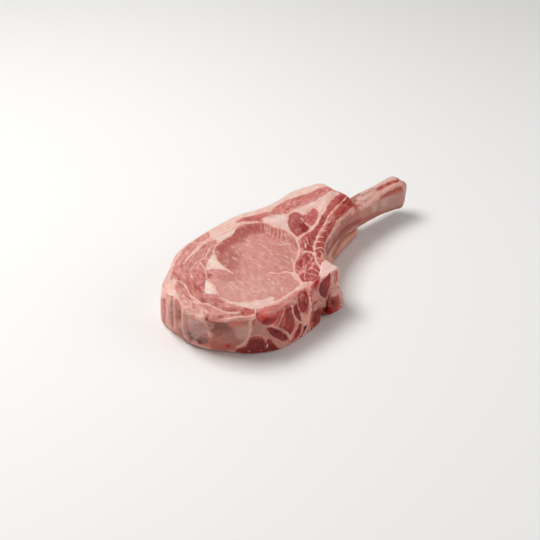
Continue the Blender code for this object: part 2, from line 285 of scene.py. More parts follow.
def lumps(points, size, seed):
    """Soft noise from -1 to 1 at points in mm."""
    away = Vector((seed, -seed, 0.5 * seed))
    return np.array([noise.noise(Vector(p) / size + away) for p in points]) * NOISE_TO_ONE


def wobble(points, size, amount, seed):
    """A small uneven shift in marks, so that no traced edge is too clean."""
    shift = np.empty((len(points), 2))
    away = Vector((seed, seed * 0.7, seed * 1.3))
    for i, p in enumerate(points):
        v = noise.noise_vector(Vector(p) / size + away)
        shift[i] = v.x * amount, v.y * amount
    return shift


def new_canvas(marks, points, lean, fat):
    count = len(marks)
    return {
        "marks": marks,
        "lean": np.tile(linear(lean), (count, 1)),
        "fat": np.tile(linear(fat), (count, 1)),
        "edge": np.full(count, -DEEPEST),
        "marble": np.zeros(count),
        "rough": np.full(count, 0.5),
        "vary": 1 + WIDTHS_VARY * lumps(points / MM, 3.0, 2.0),
        "raise": np.zeros(count),
    }


def canvases(piece, lean, fat):
    """The canvas of what is seen, the canvas of what isn't, and the share of the first."""
    points = numbers(piece.data.vertices, "co")
    shift = sum(wobble(points, *how) for how in WOBBLES)
    above = points.copy()
    above[:, 2] = THICKNESS
    seen = new_canvas(marks_of(points) + shift, points, lean, fat)
    hidden = new_canvas(marks_of(above) + shift, points, lean, fat)
    return seen, hidden, sight(piece)


print("a canvas reaches", DEEPEST, "mm into fat, and its marks are", MM_PER_MARK, "mm wide")

# %% [markdown]
# ## Brushes
#
# Marks are written as pairs in a line of text. A brush turns them into a smooth line, and asks of
# every point how far from that line it lies. Fat and lean are areas with an edge, and each wins
# over what was there before. A seam is fat of a certain width along a line. A tint only changes a
# colour, and a fold only raises or sinks the surface.


# %% Lines and distances
def curve(text, closed=False, pieces=5):
    """A smooth line through marks."""
    p = np.array([[float(v) for v in pair.split(",")] for pair in text.split()])
    if closed:
        p = np.vstack([p[-1:], p, p[:2]])
    else:
        p = np.vstack([2 * p[0] - p[1], p, 2 * p[-1] - p[-2]])
    t = np.linspace(0, 1, pieces, endpoint=False)[:, None]
    out = []
    for a, b, c, d in zip(p, p[1:], p[2:], p[3:]):
        bend = (2 * a - 5 * b + 4 * c - d) * t**2 + (3 * b - a - 3 * c + d) * t**3
        out.append(b + 0.5 * ((c - a) * t + bend))
    return np.vstack([*out, p[-2:-1]])


def distance(marks, line, reach):
    """Distance to a line in marks. Further off than reach it stays at reach."""
    found = np.full(len(marks), float(reach))
    low, high = line.min(0) - reach, line.max(0) + reach
    near = np.flatnonzero(((marks > low) & (marks < high)).all(1))
    here = marks[near]
    best = np.full(len(near), float(reach))
    for a, b in zip(line, line[1:]):
        along = b - a
        t = np.clip((here - a) @ along / max(along @ along, 1e-9), 0, 1)
        gap = here - a - t[:, None] * along
        best = np.minimum(best, np.hypot(gap[:, 0], gap[:, 1]))
    found[near] = best
    return found


def depth_in(marks, text, reach=30):
    """How deep in a closed line each point lies, and below 0 outside it."""
    line = curve(text, closed=True)
    x, y = marks.T
    inside = np.zeros(len(marks), bool)
    for (ax, ay), (bx, by) in zip(line, line[1:]):
        if ay != by:
            inside ^= ((ay > y) != (by > y)) & (x < ax + (bx - ax) * (y - ay) / (by - ay))
    away = distance(marks, line, reach)
    return np.where(inside, away, -away)


print("a line through 3 marks becomes", len(curve("0,0 10,5 20,0")), "points")

# %% Brushes that colour
EDGE_SOFT = 5
LEAN_DEEPEST = 18
SEAM_BLEED = 1.5
SEAM_REACH = 24


def blend(canvas, what, colour, share):
    canvas[what] += (linear(colour) - canvas[what]) * share[:, None]


def fat(canvas, text, colour):
    depth = depth_in(canvas["marks"], text)
    canvas["edge"] = np.maximum(canvas["edge"], np.maximum(depth * MM_PER_MARK, -DEEPEST))
    blend(canvas, "fat", colour, step(-EDGE_SOFT, EDGE_SOFT, depth))
    canvas["marble"] *= 1 - step(-2, 4, depth)


def lean(canvas, text, colour, marble):
    depth = depth_in(canvas["marks"], text)
    share = step(-EDGE_SOFT, EDGE_SOFT, depth)
    canvas["edge"] = np.minimum(canvas["edge"], np.maximum(-depth, -LEAN_DEEPEST) * MM_PER_MARK)
    blend(canvas, "lean", colour, share)
    canvas["marble"] += (marble - canvas["marble"]) * share


def tint(canvas, text, colour, soft, share, what="lean"):
    depth = depth_in(canvas["marks"], text, reach=soft + 1)
    blend(canvas, what, colour, share * step(-soft, soft * 0.6, depth))


def stripe(canvas, text, colour, width, share, what="lean"):
    away = distance(canvas["marks"], curve(text), width + 6) / canvas["vary"]
    blend(canvas, what, colour, share * (1 - step(width * 0.25, width * 0.9, away)))


def seam(canvas, text, width, end_width, colour="e8bdb1"):
    """Fat along a line, whose width in marks changes evenly from one end to the other."""
    line = curve(text)
    width, end_width = width + SEAM_BLEED, end_width + SEAM_BLEED
    away = distance(canvas["marks"], line, SEAM_REACH)
    along = np.array([np.hypot(*(canvas["marks"] - p).T) for p in (line[0], line[-1])])
    width = width + (end_width - width) * along[0] / np.maximum(along.sum(0), 1)
    width = width * canvas["vary"]
    canvas["edge"] = np.maximum(canvas["edge"], (width / 2 - away) * MM_PER_MARK)
    blend(canvas, "fat", colour, 0.8 * (1 - step(0, 12, away - width / 2)))


print("a soft edge is", round(2 * EDGE_SOFT * MM_PER_MARK, 1), "mm wide")

# %% Brushes that shape, and the way to use them all
BULGE_SOFT = 14
ROUGH_SOFT = 12


def fold(canvas, text, height, width):
    """Raises the surface along a line by height in mm, or sinks it."""
    away = distance(canvas["marks"], curve(text), width + 1)
    canvas["raise"] += height * (1 - step(0, width, away))


def bulge(canvas, text, height):
    """Raises an area by height in mm, or sinks it."""
    depth = depth_in(canvas["marks"], text, reach=BULGE_SOFT + 1)
    canvas["raise"] += height * step(-BULGE_SOFT * 0.2, BULGE_SOFT, depth)


def roughen(canvas, text, amount):
    """Sets how mottled and lumpy an area is."""
    share = step(-ROUGH_SOFT, ROUGH_SOFT, depth_in(canvas["marks"], text, reach=ROUGH_SOFT + 1))
    canvas["rough"] += (amount - canvas["rough"]) * share


def use(brush, canvas, table, **more):
    """Uses one brush on each entry of a table. The line of marks comes last in an entry."""
    for *how, text in table.values():
        brush(canvas, text, *how, **more)


def fold_seams(canvas, seams, folded):
    """Some seams stand up, or lie in a groove, so they are folded along their own line."""
    for name, how in folded.items():
        fold(canvas, seams[name][-1], *how)


print("one pixel shows", round(MM_PER_MARK * MARKS_PER_PIXEL, 2), "mm of the cut face")

# %% [markdown]
# ## The cut face
#
# The big round muscle is the loin eye, and the cap of thinner muscles wraps round it. Fat lies
# outside as one layer, and fills the wedges where muscles part. At the rib the small dark muscles
# between the ribs are left, and towards the tail the layers of the belly begin. The order counts:
# colours of the lean first, then the wide fat, then lean islands within it, and the seams last.

# %% Lean and its colours
# A tint is a colour, how soft its edge is in marks, how much of it is laid on, and its outline.
# An area of lean is a colour, how much marbling it has, and its outline.
EYE = (
    "334,366 360,330 410,296 460,278 520,266 580,268 640,286 690,312 725,348 742,385 738,425"
    " 722,465 720,500 738,540 765,566 740,592 700,614 650,632 600,640 560,650 500,660 430,670"
    " 385,655 352,640 336,612 322,570 300,545 292,520 300,500 318,470 322,430 320,395"
)
TINTS_ON_CUT = {
    "whole cut face": ("d08f87", 30, 1.0,
        "100,300 500,200 1020,60 1060,300 900,600 560,760 60,820"),
    "eye": ("cf918a", 8, 1.0, EYE),
    "eye, lower half": ("d29b92", 40, 0.8,
        "420,560 520,530 620,560 640,600 560,640 440,655 370,630 350,580"),
    "eye, left": ("ae6d64", 34, 0.8, "335,400 400,390 440,430 420,500 350,480 320,440"),
    "eye, right": ("c3857b", 30, 0.7, "640,380 700,400 710,470 690,500 640,500 620,440"),
    "eye, dark band": ("ab625b", 20, 0.9,
        "330,396 352,366 400,316 460,282 520,268 566,272 568,304 520,316 470,330 428,354 392,384"
        " 356,420"),
    "eye, dark below the band": ("ad645c", 14, 0.75,
        "387,374 400,345 440,330 480,326 478,350 440,366 410,380"),
    "eye, below the wedge": ("bd7f76", 16, 0.6, "350,522 400,522 450,530 450,552 400,556 350,545"),
    "eye, dark band's core": ("a65a54", 10, 0.6, "440,300 490,282 548,278 552,296 500,304 452,318"),
    "eye, striped edge": ("bd746c", 18, 0.7,
        "570,278 640,292 700,320 735,360 736,385 700,356 640,340 575,318"),
    "cap, left": ("ca8c86", 20, 0.9,
        "150,470 190,430 240,385 300,372 318,420 290,460 270,520 210,520 160,540"),
    "cap, lower left": ("c57e77", 20, 0.9,
        "180,530 270,505 285,560 280,622 250,645 210,625 180,590"),
    "cap, front": ("ca8d84", 16, 0.9,
        "240,655 320,650 400,690 470,700 530,700 600,690 560,730 400,740 300,730"),
}
LEAN_ON_CUT = {
    "sliver outside the cap": ("d3948a", 0.5,
        "140,470 150,446 168,418 200,384 235,355 262,337 284,325 296,320 286,333 260,352 230,378"
        " 200,408 172,440 156,470"),
    "sliver above the eye": ("c0716a", 0.3,
        "430,263 450,250 470,240 500,233 540,225 580,218 600,213 595,225 560,240 540,252 510,256"
        " 480,258 450,262"),
    "strip muscle": ("cb8078", 0.65,
        "615,220 610,200 630,185 650,172 680,158 700,147 750,131 800,115 832,97 866,85 900,90"
        " 915,100 886,106 846,120 800,139 760,157 722,177 702,192 690,208 670,216 640,220"),
    "dark lobe": ("ae6460", 0.35,
        "690,250 698,222 715,212 738,212 757,222 775,242 790,264 800,285 794,302 776,318 758,331"
        " 744,338 730,330 714,314 700,298 690,274"),
    "second lobe": ("c16f6b", 0.35,
        "764,232 778,212 798,194 820,191 838,203 844,222 834,250 820,272 804,281 790,268 776,250"),
    "first muscle between the ribs": ("b5625d", 0.3,
        "754,355 765,332 790,308 815,290 838,264 852,236 868,212 890,180 912,152 938,128 958,120"
        " 980,138 962,154 936,174 916,198 900,220 884,246 866,276 846,308 832,338 822,370 818,404"
        " 806,420 784,404 766,392 756,374"),
    "second muscle between the ribs": ("b05c57", 0.3,
        "830,372 842,344 858,318 872,294 886,270 898,244 914,216 930,196 950,180 966,166 984,146"
        " 1008,158 1020,178 998,195 972,220 950,236 932,258 914,290 898,322 884,350 874,378"
        " 870,402 850,392 832,396"),
    "low end between the ribs": ("b5665f", 0.6,
        "824,394 850,392 870,402 870,430 872,462 862,484 852,484 842,466 832,438 826,412"),
    "tail end": ("b5605a", 0.3,
        "895,165 908,155 925,140 945,122 958,115 970,125 985,140 972,158 950,168 920,172"),
    "small striped muscle": ("b25b57", 0.3,
        "728,480 730,500 738,520 750,540 765,558 780,562 800,560 820,555 840,550 850,540 860,520"
        " 862,500 850,490 835,480 825,465 820,445 812,430 800,415 780,415 765,425 750,440 738,455"),
}
DARKER_LEAN = {
    "lobe": ("a05250", 12, 0.7, "715,262 745,252 768,276 775,300 750,320 722,304"),
    "lobe, core": ("8c3d3e", 9, 0.9, "752,272 772,268 790,288 784,302 764,306 752,290"),
    "lobe, pale": ("b96a66", 14, 0.6, "700,228 740,214 752,232 730,244 706,250"),
    "second lobe, middle": ("ab5a57", 8, 0.6, "790,235 820,220 826,245 805,262"),
    "first between the ribs": ("a04f4b", 12, 0.7,
        "775,345 815,315 845,280 838,310 812,350 800,395 775,385"),
    "middle of the rib muscles": ("9c4541", 9, 0.85, "795,345 815,338 824,356 812,376 796,368"),
    "left of the rib muscles": ("c06d68", 10, 0.6, "758,345 785,322 795,345 775,360 760,362"),
    "pale by the rib": ("bd7a72", 9, 0.7, "900,236 916,232 922,248 908,262 898,254"),
    "right of the seam": ("a04844", 9, 0.6, "852,254 868,236 880,246 864,268 852,268"),
    "second between the ribs": ("98453f", 12, 0.6,
        "850,372 868,330 890,300 905,268 898,300 878,340 862,400 848,440"),
    "ends of the rib muscles": ("9c4843", 12, 0.9,
        "950,142 990,130 1014,150 1012,176 985,196 955,196"),
    "tail corner": ("a04a45", 10, 0.7,
        "935,215 965,192 985,165 1010,165 1015,182 985,205 960,225 940,232"),
    "strip muscle's edge": ("c0716a", 8, 0.6,
        "640,205 700,178 760,158 820,135 850,128 800,148 740,170 690,196"),
    "small muscle": ("a95450", 9, 0.6, "745,455 770,435 790,440 770,470 748,485"),
    "small muscle, low": ("ad5a55", 9, 0.6, "755,515 775,545 790,553 772,556 755,538"),
    "spot by the upper wedge": ("9a3d39", 9, 0.9, "290,522 304,522 308,534 296,540 288,533"),
    "left rim, red": ("b0564f", 10, 0.8, "118,512 134,504 142,518 134,530 120,526"),
    "left rim, pale": ("da958c", 9, 0.7, "124,502 138,502 140,520 128,524"),
    "left rim, orange": ("b8634f", 9, 0.7, "136,538 150,536 152,548 140,552"),
    "cap spot 1": ("b86a62", 10, 0.7, "190,562 208,565 212,580 196,584"),
    "cap spot 2": ("b4645c", 10, 0.7, "176,612 194,615 198,632 182,634"),
    "cap spot 3": ("b0605a", 12, 0.8, "224,580 246,582 248,600 232,604"),
    "cap spot 4": ("b86a62", 12, 0.7, "256,512 272,514 274,530 260,530"),
    "cap, low front": ("b8736b", 14, 0.7, "286,648 336,646 362,668 330,682 290,672"),
    "front layer 1": ("a85a54", 10, 0.8, "250,640 280,646 300,655 300,666 272,662 248,652"),
    "front layer 2": ("a65650", 10, 0.8, "362,690 400,690 440,696 430,706 395,706 365,700"),
    "front layer 3": ("a85a55", 10, 0.8, "315,728 345,728 372,724 378,734 350,742 318,742"),
    "front lens": ("b05650", 9, 0.8, "452,700 480,692 508,698 524,708 500,722 466,724 450,714"),
}
print(len(TINTS_ON_CUT) + len(LEAN_ON_CUT) + len(DARKER_LEAN), "areas of lean")

# %% Fat and its colours
# An area of fat is a colour and its outline. The paler places are tints.
OUTER_FAT = (
    "86,640 96,600 100,560 105,530 115,500 125,470 140,440 160,410 180,385 200,370 240,340 270,320"
    " 296,312 300,330 282,356 326,346 334,364 341,368 362,357 380,346 401,338 412,326 421,310"
    " 428,298 442,286 460,275 480,268 480,258 452,262 425,264 450,246 470,236 500,229 540,221"
    " 580,213 606,206 630,182 650,169 680,155 700,147 730,135 760,126 800,114 840,101 860,91 885,84"
    " 905,90 905,40 600,40 200,200 -40,420 -40,660 40,660"
)
FAT_ON_CUT = {
    "outer layer": ("e6c0b3", OUTER_FAT),
    "upper wedge at the eye": ("e9d0c4",
        "314,416 330,439 344,464 362,482 387,496 416,518 387,507 369,500 351,496 316,496 287,500"
        " 280,493 285,475 289,457 296,443 305,432"),
    "lower wedge at the eye": ("ead2c7",
        "285,550 298,561 316,571 326,589 337,611 335,621 316,623 294,620 266,625 280,614 269,607"
        " 276,593 276,564"),
    "skin at the left rim": ("e6c2b9",
        "103,550 123,543 137,550 126,571 125,596 137,621 151,654 173,679 198,689 180,696 162,696"
        " 148,671 134,646 119,629 84,625 76,607 84,579"),
    "below the eye": ("e4c4b9",
        "378,648 392,654 410,658 437,661 450,665 475,658 500,661 520,655 537,652 560,650 575,645"
        " 600,634 622,640 622,652 640,656 668,648 652,665 628,674 604,684 580,692 556,696 537,694"
        " 512,694 490,690 474,684 450,682 425,677 400,667 384,658"),
    "field right of the eye": ("dcb2a8",
        "560,245 600,230 640,224 690,218 705,204 740,188 790,168 830,155 850,138 880,120 910,105"
        " 940,112 950,120 930,130 910,150 895,165 882,185 868,208 855,228 846,262 828,290 800,308"
        " 765,332 745,342 728,342 690,308 650,295 620,285 600,275 575,264"),
    "right tip of the eye": ("e6c6bc", "705,515 725,512 740,530 752,550 745,555 730,550 718,540"),
    "end of the lower seam": ("e6bfb5", "747,567 780,561 814,561 808,583 780,594 758,589"),
    "between muscle and backbone": ("ebc9c0",
        "850,490 865,470 875,458 890,455 905,465 920,478 940,488 925,500 905,515 885,530 870,530"
        " 860,515"),
    "edge over the rib": ("cf998b",
        "1022,196 1000,212 978,236 952,258 936,282 922,308 906,338 896,368 892,400 892,436"
        " 880,440 876,405 880,375 888,345 902,318 916,290 930,262 945,245 965,230 985,212"
        " 1000,196 1018,186"),
}
PALER_FAT = {
    "wedge at the top": ("d8aaa0", 10, 0.9,
        "285,360 340,350 400,340 440,300 480,282 450,282 410,300 360,330 300,345"),
    "white of the wedge": ("ead5ca", 6, 0.8,
        "330,352 372,338 408,322 432,300 470,284 440,292 400,312 360,330"),
    "left flank": ("dfaea4", 30, 0.9,
        "60,640 70,580 90,520 120,460 150,410 130,460 108,520 96,580 90,640"),
    "rim of the left flank": ("e8c0b6", 8, 0.8,
        "92,560 110,500 140,445 180,392 210,366 180,380 140,430 108,490"),
    "back edge": ("e9c9bd", 16, 0.9,
        "300,300 400,240 520,190 640,130 760,90 880,60 880,80 780,112 660,160 540,212 420,262"),
    "tail": ("e7c8bc", 10, 0.9, "740,130 800,106 860,86 900,78 900,90 850,100 800,116 750,134"),
    "field, white": ("e8cdc4", 12, 0.8, "620,240 680,228 690,280 660,290 610,270"),
    "field, brightest": ("f6e2d9", 16, 0.9, "800,172 850,146 872,172 846,200 806,200"),
    "over the eye": ("f6d6cb", 9, 0.6, "540,246 580,242 620,252 600,266 560,262"),
    "left corner": ("eec9bf", 10, 0.8, "64,590 100,570 130,572 120,600 84,612 64,612"),
    "field, tail side": ("e6c6bc", 12, 0.8,
        "720,200 800,172 860,140 900,118 880,150 850,180 800,190 740,206"),
}
print(len(FAT_ON_CUT) + len(PALER_FAT), "areas of fat")

# %% Seams
# A seam is its width in marks where it starts, its width where it ends, and its line.
SEAMS_ON_CUT = {
    "under the outer fat": (20, 8, "330,342 300,351 270,366 240,390 215,415 190,440 170,465"),
    "under it, thin": (3, 2, "320,375 295,400 280,425 270,445"),
    "loop in the cap": (3, 3, "270,440 240,455 220,480 206,502 207,525 212,545"),
    "down the cap": (4, 2, "251,465 269,484 277,512 285,540 310,565 330,595 345,625"),
    "right of the upper wedge": (2.5, 2, "320,392 326,425 345,463 375,490 415,517"),
    "left arc": (6, 3, "125,550 150,555 175,575 190,600 200,625 225,645 265,670"),
    "front, long": (4, 4,
        "184,636 198,654 223,663 244,667 280,669 301,674 319,684 337,694 359,704 380,711 409,715"
        " 441,714 455,711"),
    "front, streak 1": (2, 1, "163,617 174,640 188,662 206,681"),
    "front, streak 2": (2, 1, "150,600 160,622 172,648 186,668"),
    "front, streak 3": (2, 1, "228,656 246,682 268,696 290,704"),
    "front, short": (4, 3, "259,700 280,707 294,718 305,729"),
    "front rim": (8, 8,
        "373,757 391,754 405,746 423,739 441,735 462,737 480,740 500,737 515,728 527,715"),
    "eye, left": (4, 4, "314,416 318,400 328,382 340,368"),
    "eye, top": (4, 8,
        "430,276 450,271 480,266 520,262 560,262 600,268 640,282 670,297 695,312 715,328 728,345"
        " 738,360 745,380 748,400 742,425 732,445 722,465 718,485 720,505 728,525 740,545 755,560"
        " 775,572 790,578"),
    "eye, low right": (12, 12, "800,574 780,580 769,580 736,594 703,617 675,639 640,656 620,664"),
    "cleft in the eye": (5, 6, "598,513 620,515 645,516 665,510 685,510 705,515 720,520"),
    "above the first rib muscle": (8, 9,
        "742,345 750,335 765,325 785,315 805,300 825,280 838,265 845,245 855,225 870,210 880,185"),
    "between the rib muscles": (5.5, 1.5,
        "820,372 830,350 845,320 860,292 872,272 885,250 895,228 914,206 930,183 950,170 962,158"
        " 978,142 994,126"),
    "down to the tip": (6, 8, "820,374 821,400 826,430 832,455 842,475 852,490 870,500"),
    "over the small muscle": (6, 5, "748,402 765,412 785,408 805,412 820,425"),
    "spur": (4, 3, "708,445 715,460 718,475"),
    "field edge": (5, 5, "700,215 720,205 745,202 762,212 772,220 790,208 810,188 832,192 846,206"),
    "between the lobes": (1.5, 3, "776,262 785,272 795,284"),
    "fleck between the lobes": (4, 3, "756,244 766,256"),
    "second rib muscle 1": (4, 3, "836,340 850,334 866,338"),
    "second rib muscle 2": (4, 3, "828,364 842,358 860,362 872,372"),
    "second rib muscle 3": (3, 3, "862,300 872,304 884,300"),
    "second rib muscle 4": (5, 4, "826,396 845,390 860,392 874,402"),
    "second rib muscle 5": (3, 3, "884,262 894,264 904,258"),
    "first rib muscle 1": (3, 2, "782,342 789,354 793,370"),
    "first rib muscle 2": (3, 3, "770,352 778,368 780,388"),
}
print(len(SEAMS_ON_CUT), "seams between the muscles")

# %% Fine streaks
STREAKS_IN_EYE = (
    "545,365 560,376 575,386 592,397 612,410", "460,422 476,430 492,442",
    "505,460 530,470 545,478 557,488", "565,445 578,457", "655,442 675,452 688,459 698,467",
    "627,417 638,421 650,425", "667,426 677,431 688,437", "635,370 650,375 660,375 685,370 700,372",
    "700,407 720,417 735,425", "467,505 477,522", "510,525 513,547", "540,535 550,548",
    "440,555 462,568", "505,596 515,580", "545,602 560,597 570,601 580,607",
    "656,588 660,604 663,618", "412,437 424,443 435,450", "472,370 485,376",
    "495,380 508,386 520,393", "550,412 560,418 571,426", "385,575 398,580 406,586 410,597",
    "430,585 437,596", "637,565 646,570 655,576", "410,385 420,392", "585,470 600,480 612,484",
    "430,500 440,510", "480,600 492,612", "520,630 540,626", "610,560 620,572", "590,545 600,552",
    "445,395 455,402",
)
STREAKS_AT_ITS_EDGE = (
    "549,268 551,284 556,300", "572,274 574,292 580,312", "584,280 588,298 592,318",
    "600,284 602,304 598,326", "622,290 620,312 612,336", "640,296 640,318 634,340",
    "659,304 658,324 652,344", "676,312 676,330 682,344", "694,322 698,336 704,346",
    "712,336 716,350 724,362",
)
STREAKS_IN_WEDGE = (
    "306,338 340,322 380,304 420,284 452,274", "318,348 356,334 392,318 428,296 462,280",
    "345,352 378,340 408,324 436,304 470,286", "300,330 330,312 362,296 402,276 436,264",
)
NET_ON_SMALL_MUSCLE = (
    "775,505 765,512 750,515 744,532", "775,505 795,498 808,488 812,465", "778,508 795,520 808,546",
    "733,500 755,504 775,505", "775,505 782,480 796,462 808,448", "775,505 768,480 770,455",
    "778,508 772,530 776,552", "808,488 822,498 838,510", "795,520 815,520 834,530",
    "812,465 824,474", "750,515 742,505", "838,440 855,442 868,448", "842,462 856,458 868,464",
    "850,405 860,420 862,440", "790,430 800,440 812,440", "738,482 748,490 762,497",
)
DARK_STREAKS_IN_EYE = (
    "563,278 566,300 570,318", "590,282 592,300 592,322", "610,292 610,312 604,330",
    "630,296 628,322 620,345", "650,304 648,326 642,342", "668,318 668,336 676,350",
    "688,328 696,342 706,352", "712,345 722,360 728,380",
)
print(len(STREAKS_IN_EYE) + len(STREAKS_AT_ITS_EDGE), "pale streaks in the eye")

# %% Paint the cut face
# How mottled and lumpy an area is, and its outline.
ROUGH_ON_CUT = {
    "all but the eye": (1.0, "60,300 500,180 950,60 1060,160 900,520 840,640 560,800 60,800"),
    "eye": (0.5, EYE),
    "dark lobes": (1.2,
        "690,250 715,210 757,222 798,194 838,203 844,222 804,281 794,302 744,338 700,298"),
    "strip muscle": (1.15, "610,210 650,172 700,147 832,97 900,90 846,120 760,157 690,208 620,222"),
    "muscles between the ribs": (1.4,
        "740,400 760,330 860,212 950,110 1020,160 950,240 880,360 870,480 800,570 730,550 730,470"),
    "fields of fat": (0.5, "560,245 690,218 830,155 940,112 880,185 828,290 745,342 650,295"),
    "outer fat": (0.35, OUTER_FAT),
}
MARBLE_ON_CUT = 0.5
DARK_STREAK = ("a85f58", 7, 0.5)
# Colour, width, share and layer of each family of fine lines, its height in mm and its reach.
FINE_LINES_ON_CUT = (
    ("ecd4ca", 5, 0.55, "fat", 0.10, 6, STREAKS_IN_WEDGE),
    ("dfa69d", 5, 0.75, "lean", 0.10, 6, NET_ON_SMALL_MUSCLE),
    ("e8c0b5", 4.2, 0.65, "lean", 0.08, 5, STREAKS_IN_EYE),
    ("d9a299", 5.5, 0.65, "lean", 0.06, 5, STREAKS_AT_ITS_EDGE),
)
FAT_STANDS_UP = 0.24  # mm above the lean, because lean shrinks back where it dries
FAT_SLOPE = (-0.6, 0.5)


def paint_cut(canvas):
    canvas["marble"][:] = MARBLE_ON_CUT
    use(tint, canvas, TINTS_ON_CUT)
    for text in DARK_STREAKS_IN_EYE:
        stripe(canvas, text, *DARK_STREAK)
    use(fat, canvas, FAT_ON_CUT)
    use(tint, canvas, PALER_FAT, what="fat")
    use(lean, canvas, LEAN_ON_CUT)
    use(tint, canvas, DARKER_LEAN)
    use(seam, canvas, SEAMS_ON_CUT)
    for colour, width, share, layer, height, reach, lines in FINE_LINES_ON_CUT:
        for text in lines:
            stripe(canvas, text, colour, width, share, layer)
            fold(canvas, text, height, reach)
    use(roughen, canvas, ROUGH_ON_CUT)
    canvas["raise"] += FAT_STANDS_UP * step(*FAT_SLOPE, canvas["edge"])


print("fat stands", FAT_STANDS_UP, "mm above the lean")

# %% [markdown]
# ## The outside that faces the eye
#
# Below the rim the chop shows what the butcher trimmed: a thin grey-pink membrane over fat, folds
# where the skin side was pressed, and further right the cut ends of the muscles along the back,
# dark and parted by white lines. The walls stand partly in shade, and their colours were judged
# as they look there, so all of them are lifted by one factor before they are used.

# %% Membranes and muscles of the outside
SKIN_ON_WALL = {
    "left flank, all": ("c98a7c",
        "30,560 84,604 100,640 140,680 172,703 186,740 184,800 200,850 225,878 300,905 430,915"
        " 430,960 10,960"),
    "between the membranes": ("b46f64",
        "276,728 300,740 330,745 380,752 430,750 480,742 524,728 520,770 400,850 460,880 470,915"
        " 300,905 296,850"),
    "first membrane": ("bb7a70",
        "167,702 190,699 214,702 240,712 268,722 277,740 282,770 290,800 303,838 314,872 270,862"
        " 225,868 197,852 178,824 165,785 166,740"),
    "second membrane": ("a76b60",
        "385,785 420,770 460,762 500,752 526,738 530,760 520,780 508,800 492,835 482,850 472,870"
        " 440,882 410,876 380,858 350,846 345,820 360,800"),
    "bottom band": ("c4796c",
        "222,868 300,862 360,868 420,880 470,885 480,915 400,925 300,918 222,895"),
    "pale column": ("b98076",
        "500,800 520,772 550,776 580,783 590,800 605,824 636,847 664,860 690,860 672,882 648,896"
        " 636,884 612,860 592,846 572,834 540,828 515,830 500,835"),
    "behind the bundles": ("b3675e",
        "528,765 600,700 640,680 700,655 760,600 800,580 812,700 800,760 760,830 700,870 690,860"
        " 600,790"),
    "beige patch": ("c9968a", "750,716 768,722 782,735 782,755 770,768 757,752"),
    "band before the backbone": ("e5a198",
        "775,580 800,576 826,586 840,610 846,640 836,660 822,690 812,717 804,750 792,770 778,764"
        " 784,735 796,700 796,660 790,625"),
    "inside of the curve": ("c28d7b",
        "1046,222 1078,232 1072,262 1050,300 1036,336 1000,375 950,420 925,480 876,480 868,440"
        " 880,440 892,436 905,400 930,352 960,304 1000,262"),
}
MUSCLE_ON_WALL = {
    "low dark muscle": ("81302c", 0.1,
        "480,880 490,862 500,845 515,834 540,832 560,834 574,850 580,858 592,846 608,850 624,868"
        " 640,886 648,898 620,925 480,925 440,915 425,903 440,895 460,888"),
    "top of the red lobe": ("d98a82", 0.2,
        "536,705 569,689 608,678 640,672 668,664 690,660 692,668 669,676 647,694 619,700 586,712"
        " 564,718 545,722"),
    "red lobe": ("c05b56", 0,
        "528,735 538,720 555,715 575,716 608,717 636,710 650,706 644,739 630,761 603,773 575,776"
        " 553,763 538,752"),
    "film right of the lobe": ("b84c45", 0.1,
        "632,716 652,700 668,692 662,716 652,748 640,772 622,782 606,776 622,764 634,742"),
    "dark bundle": ("803637", 0,
        "584,791 603,781 632,794 662,810 688,836 678,852 658,853 636,846 606,830 590,811"),
    "first bundle": ("903e3b", 0,
        "669,700 703,684 713,694 720,728 722,770 715,804 702,824 686,820 664,806 649,794 644,776"
        " 658,733"),
    "second bundle": ("86332f", 0,
        "714,690 726,672 737,662 747,694 754,733 758,754 744,756 726,735 720,712"),
    "dark muscle at the right": ("9c3c3a", 0,
        "738,625 750,608 764,603 780,609 788,629 793,658 788,692 772,712 754,717 744,700 736,662"),
    "lower right": ("933636", 0,
        "728,752 745,762 758,762 760,790 752,815 738,835 720,848 704,856 700,846 716,818 734,784"),
    "foot of the right": ("8a3c38", 0,
        "770,770 786,768 796,776 790,800 772,825 750,845 744,836 758,812 766,792"),
}
print(len(SKIN_ON_WALL), "areas of fat and membrane,", len(MUSCLE_ON_WALL), "of muscle")

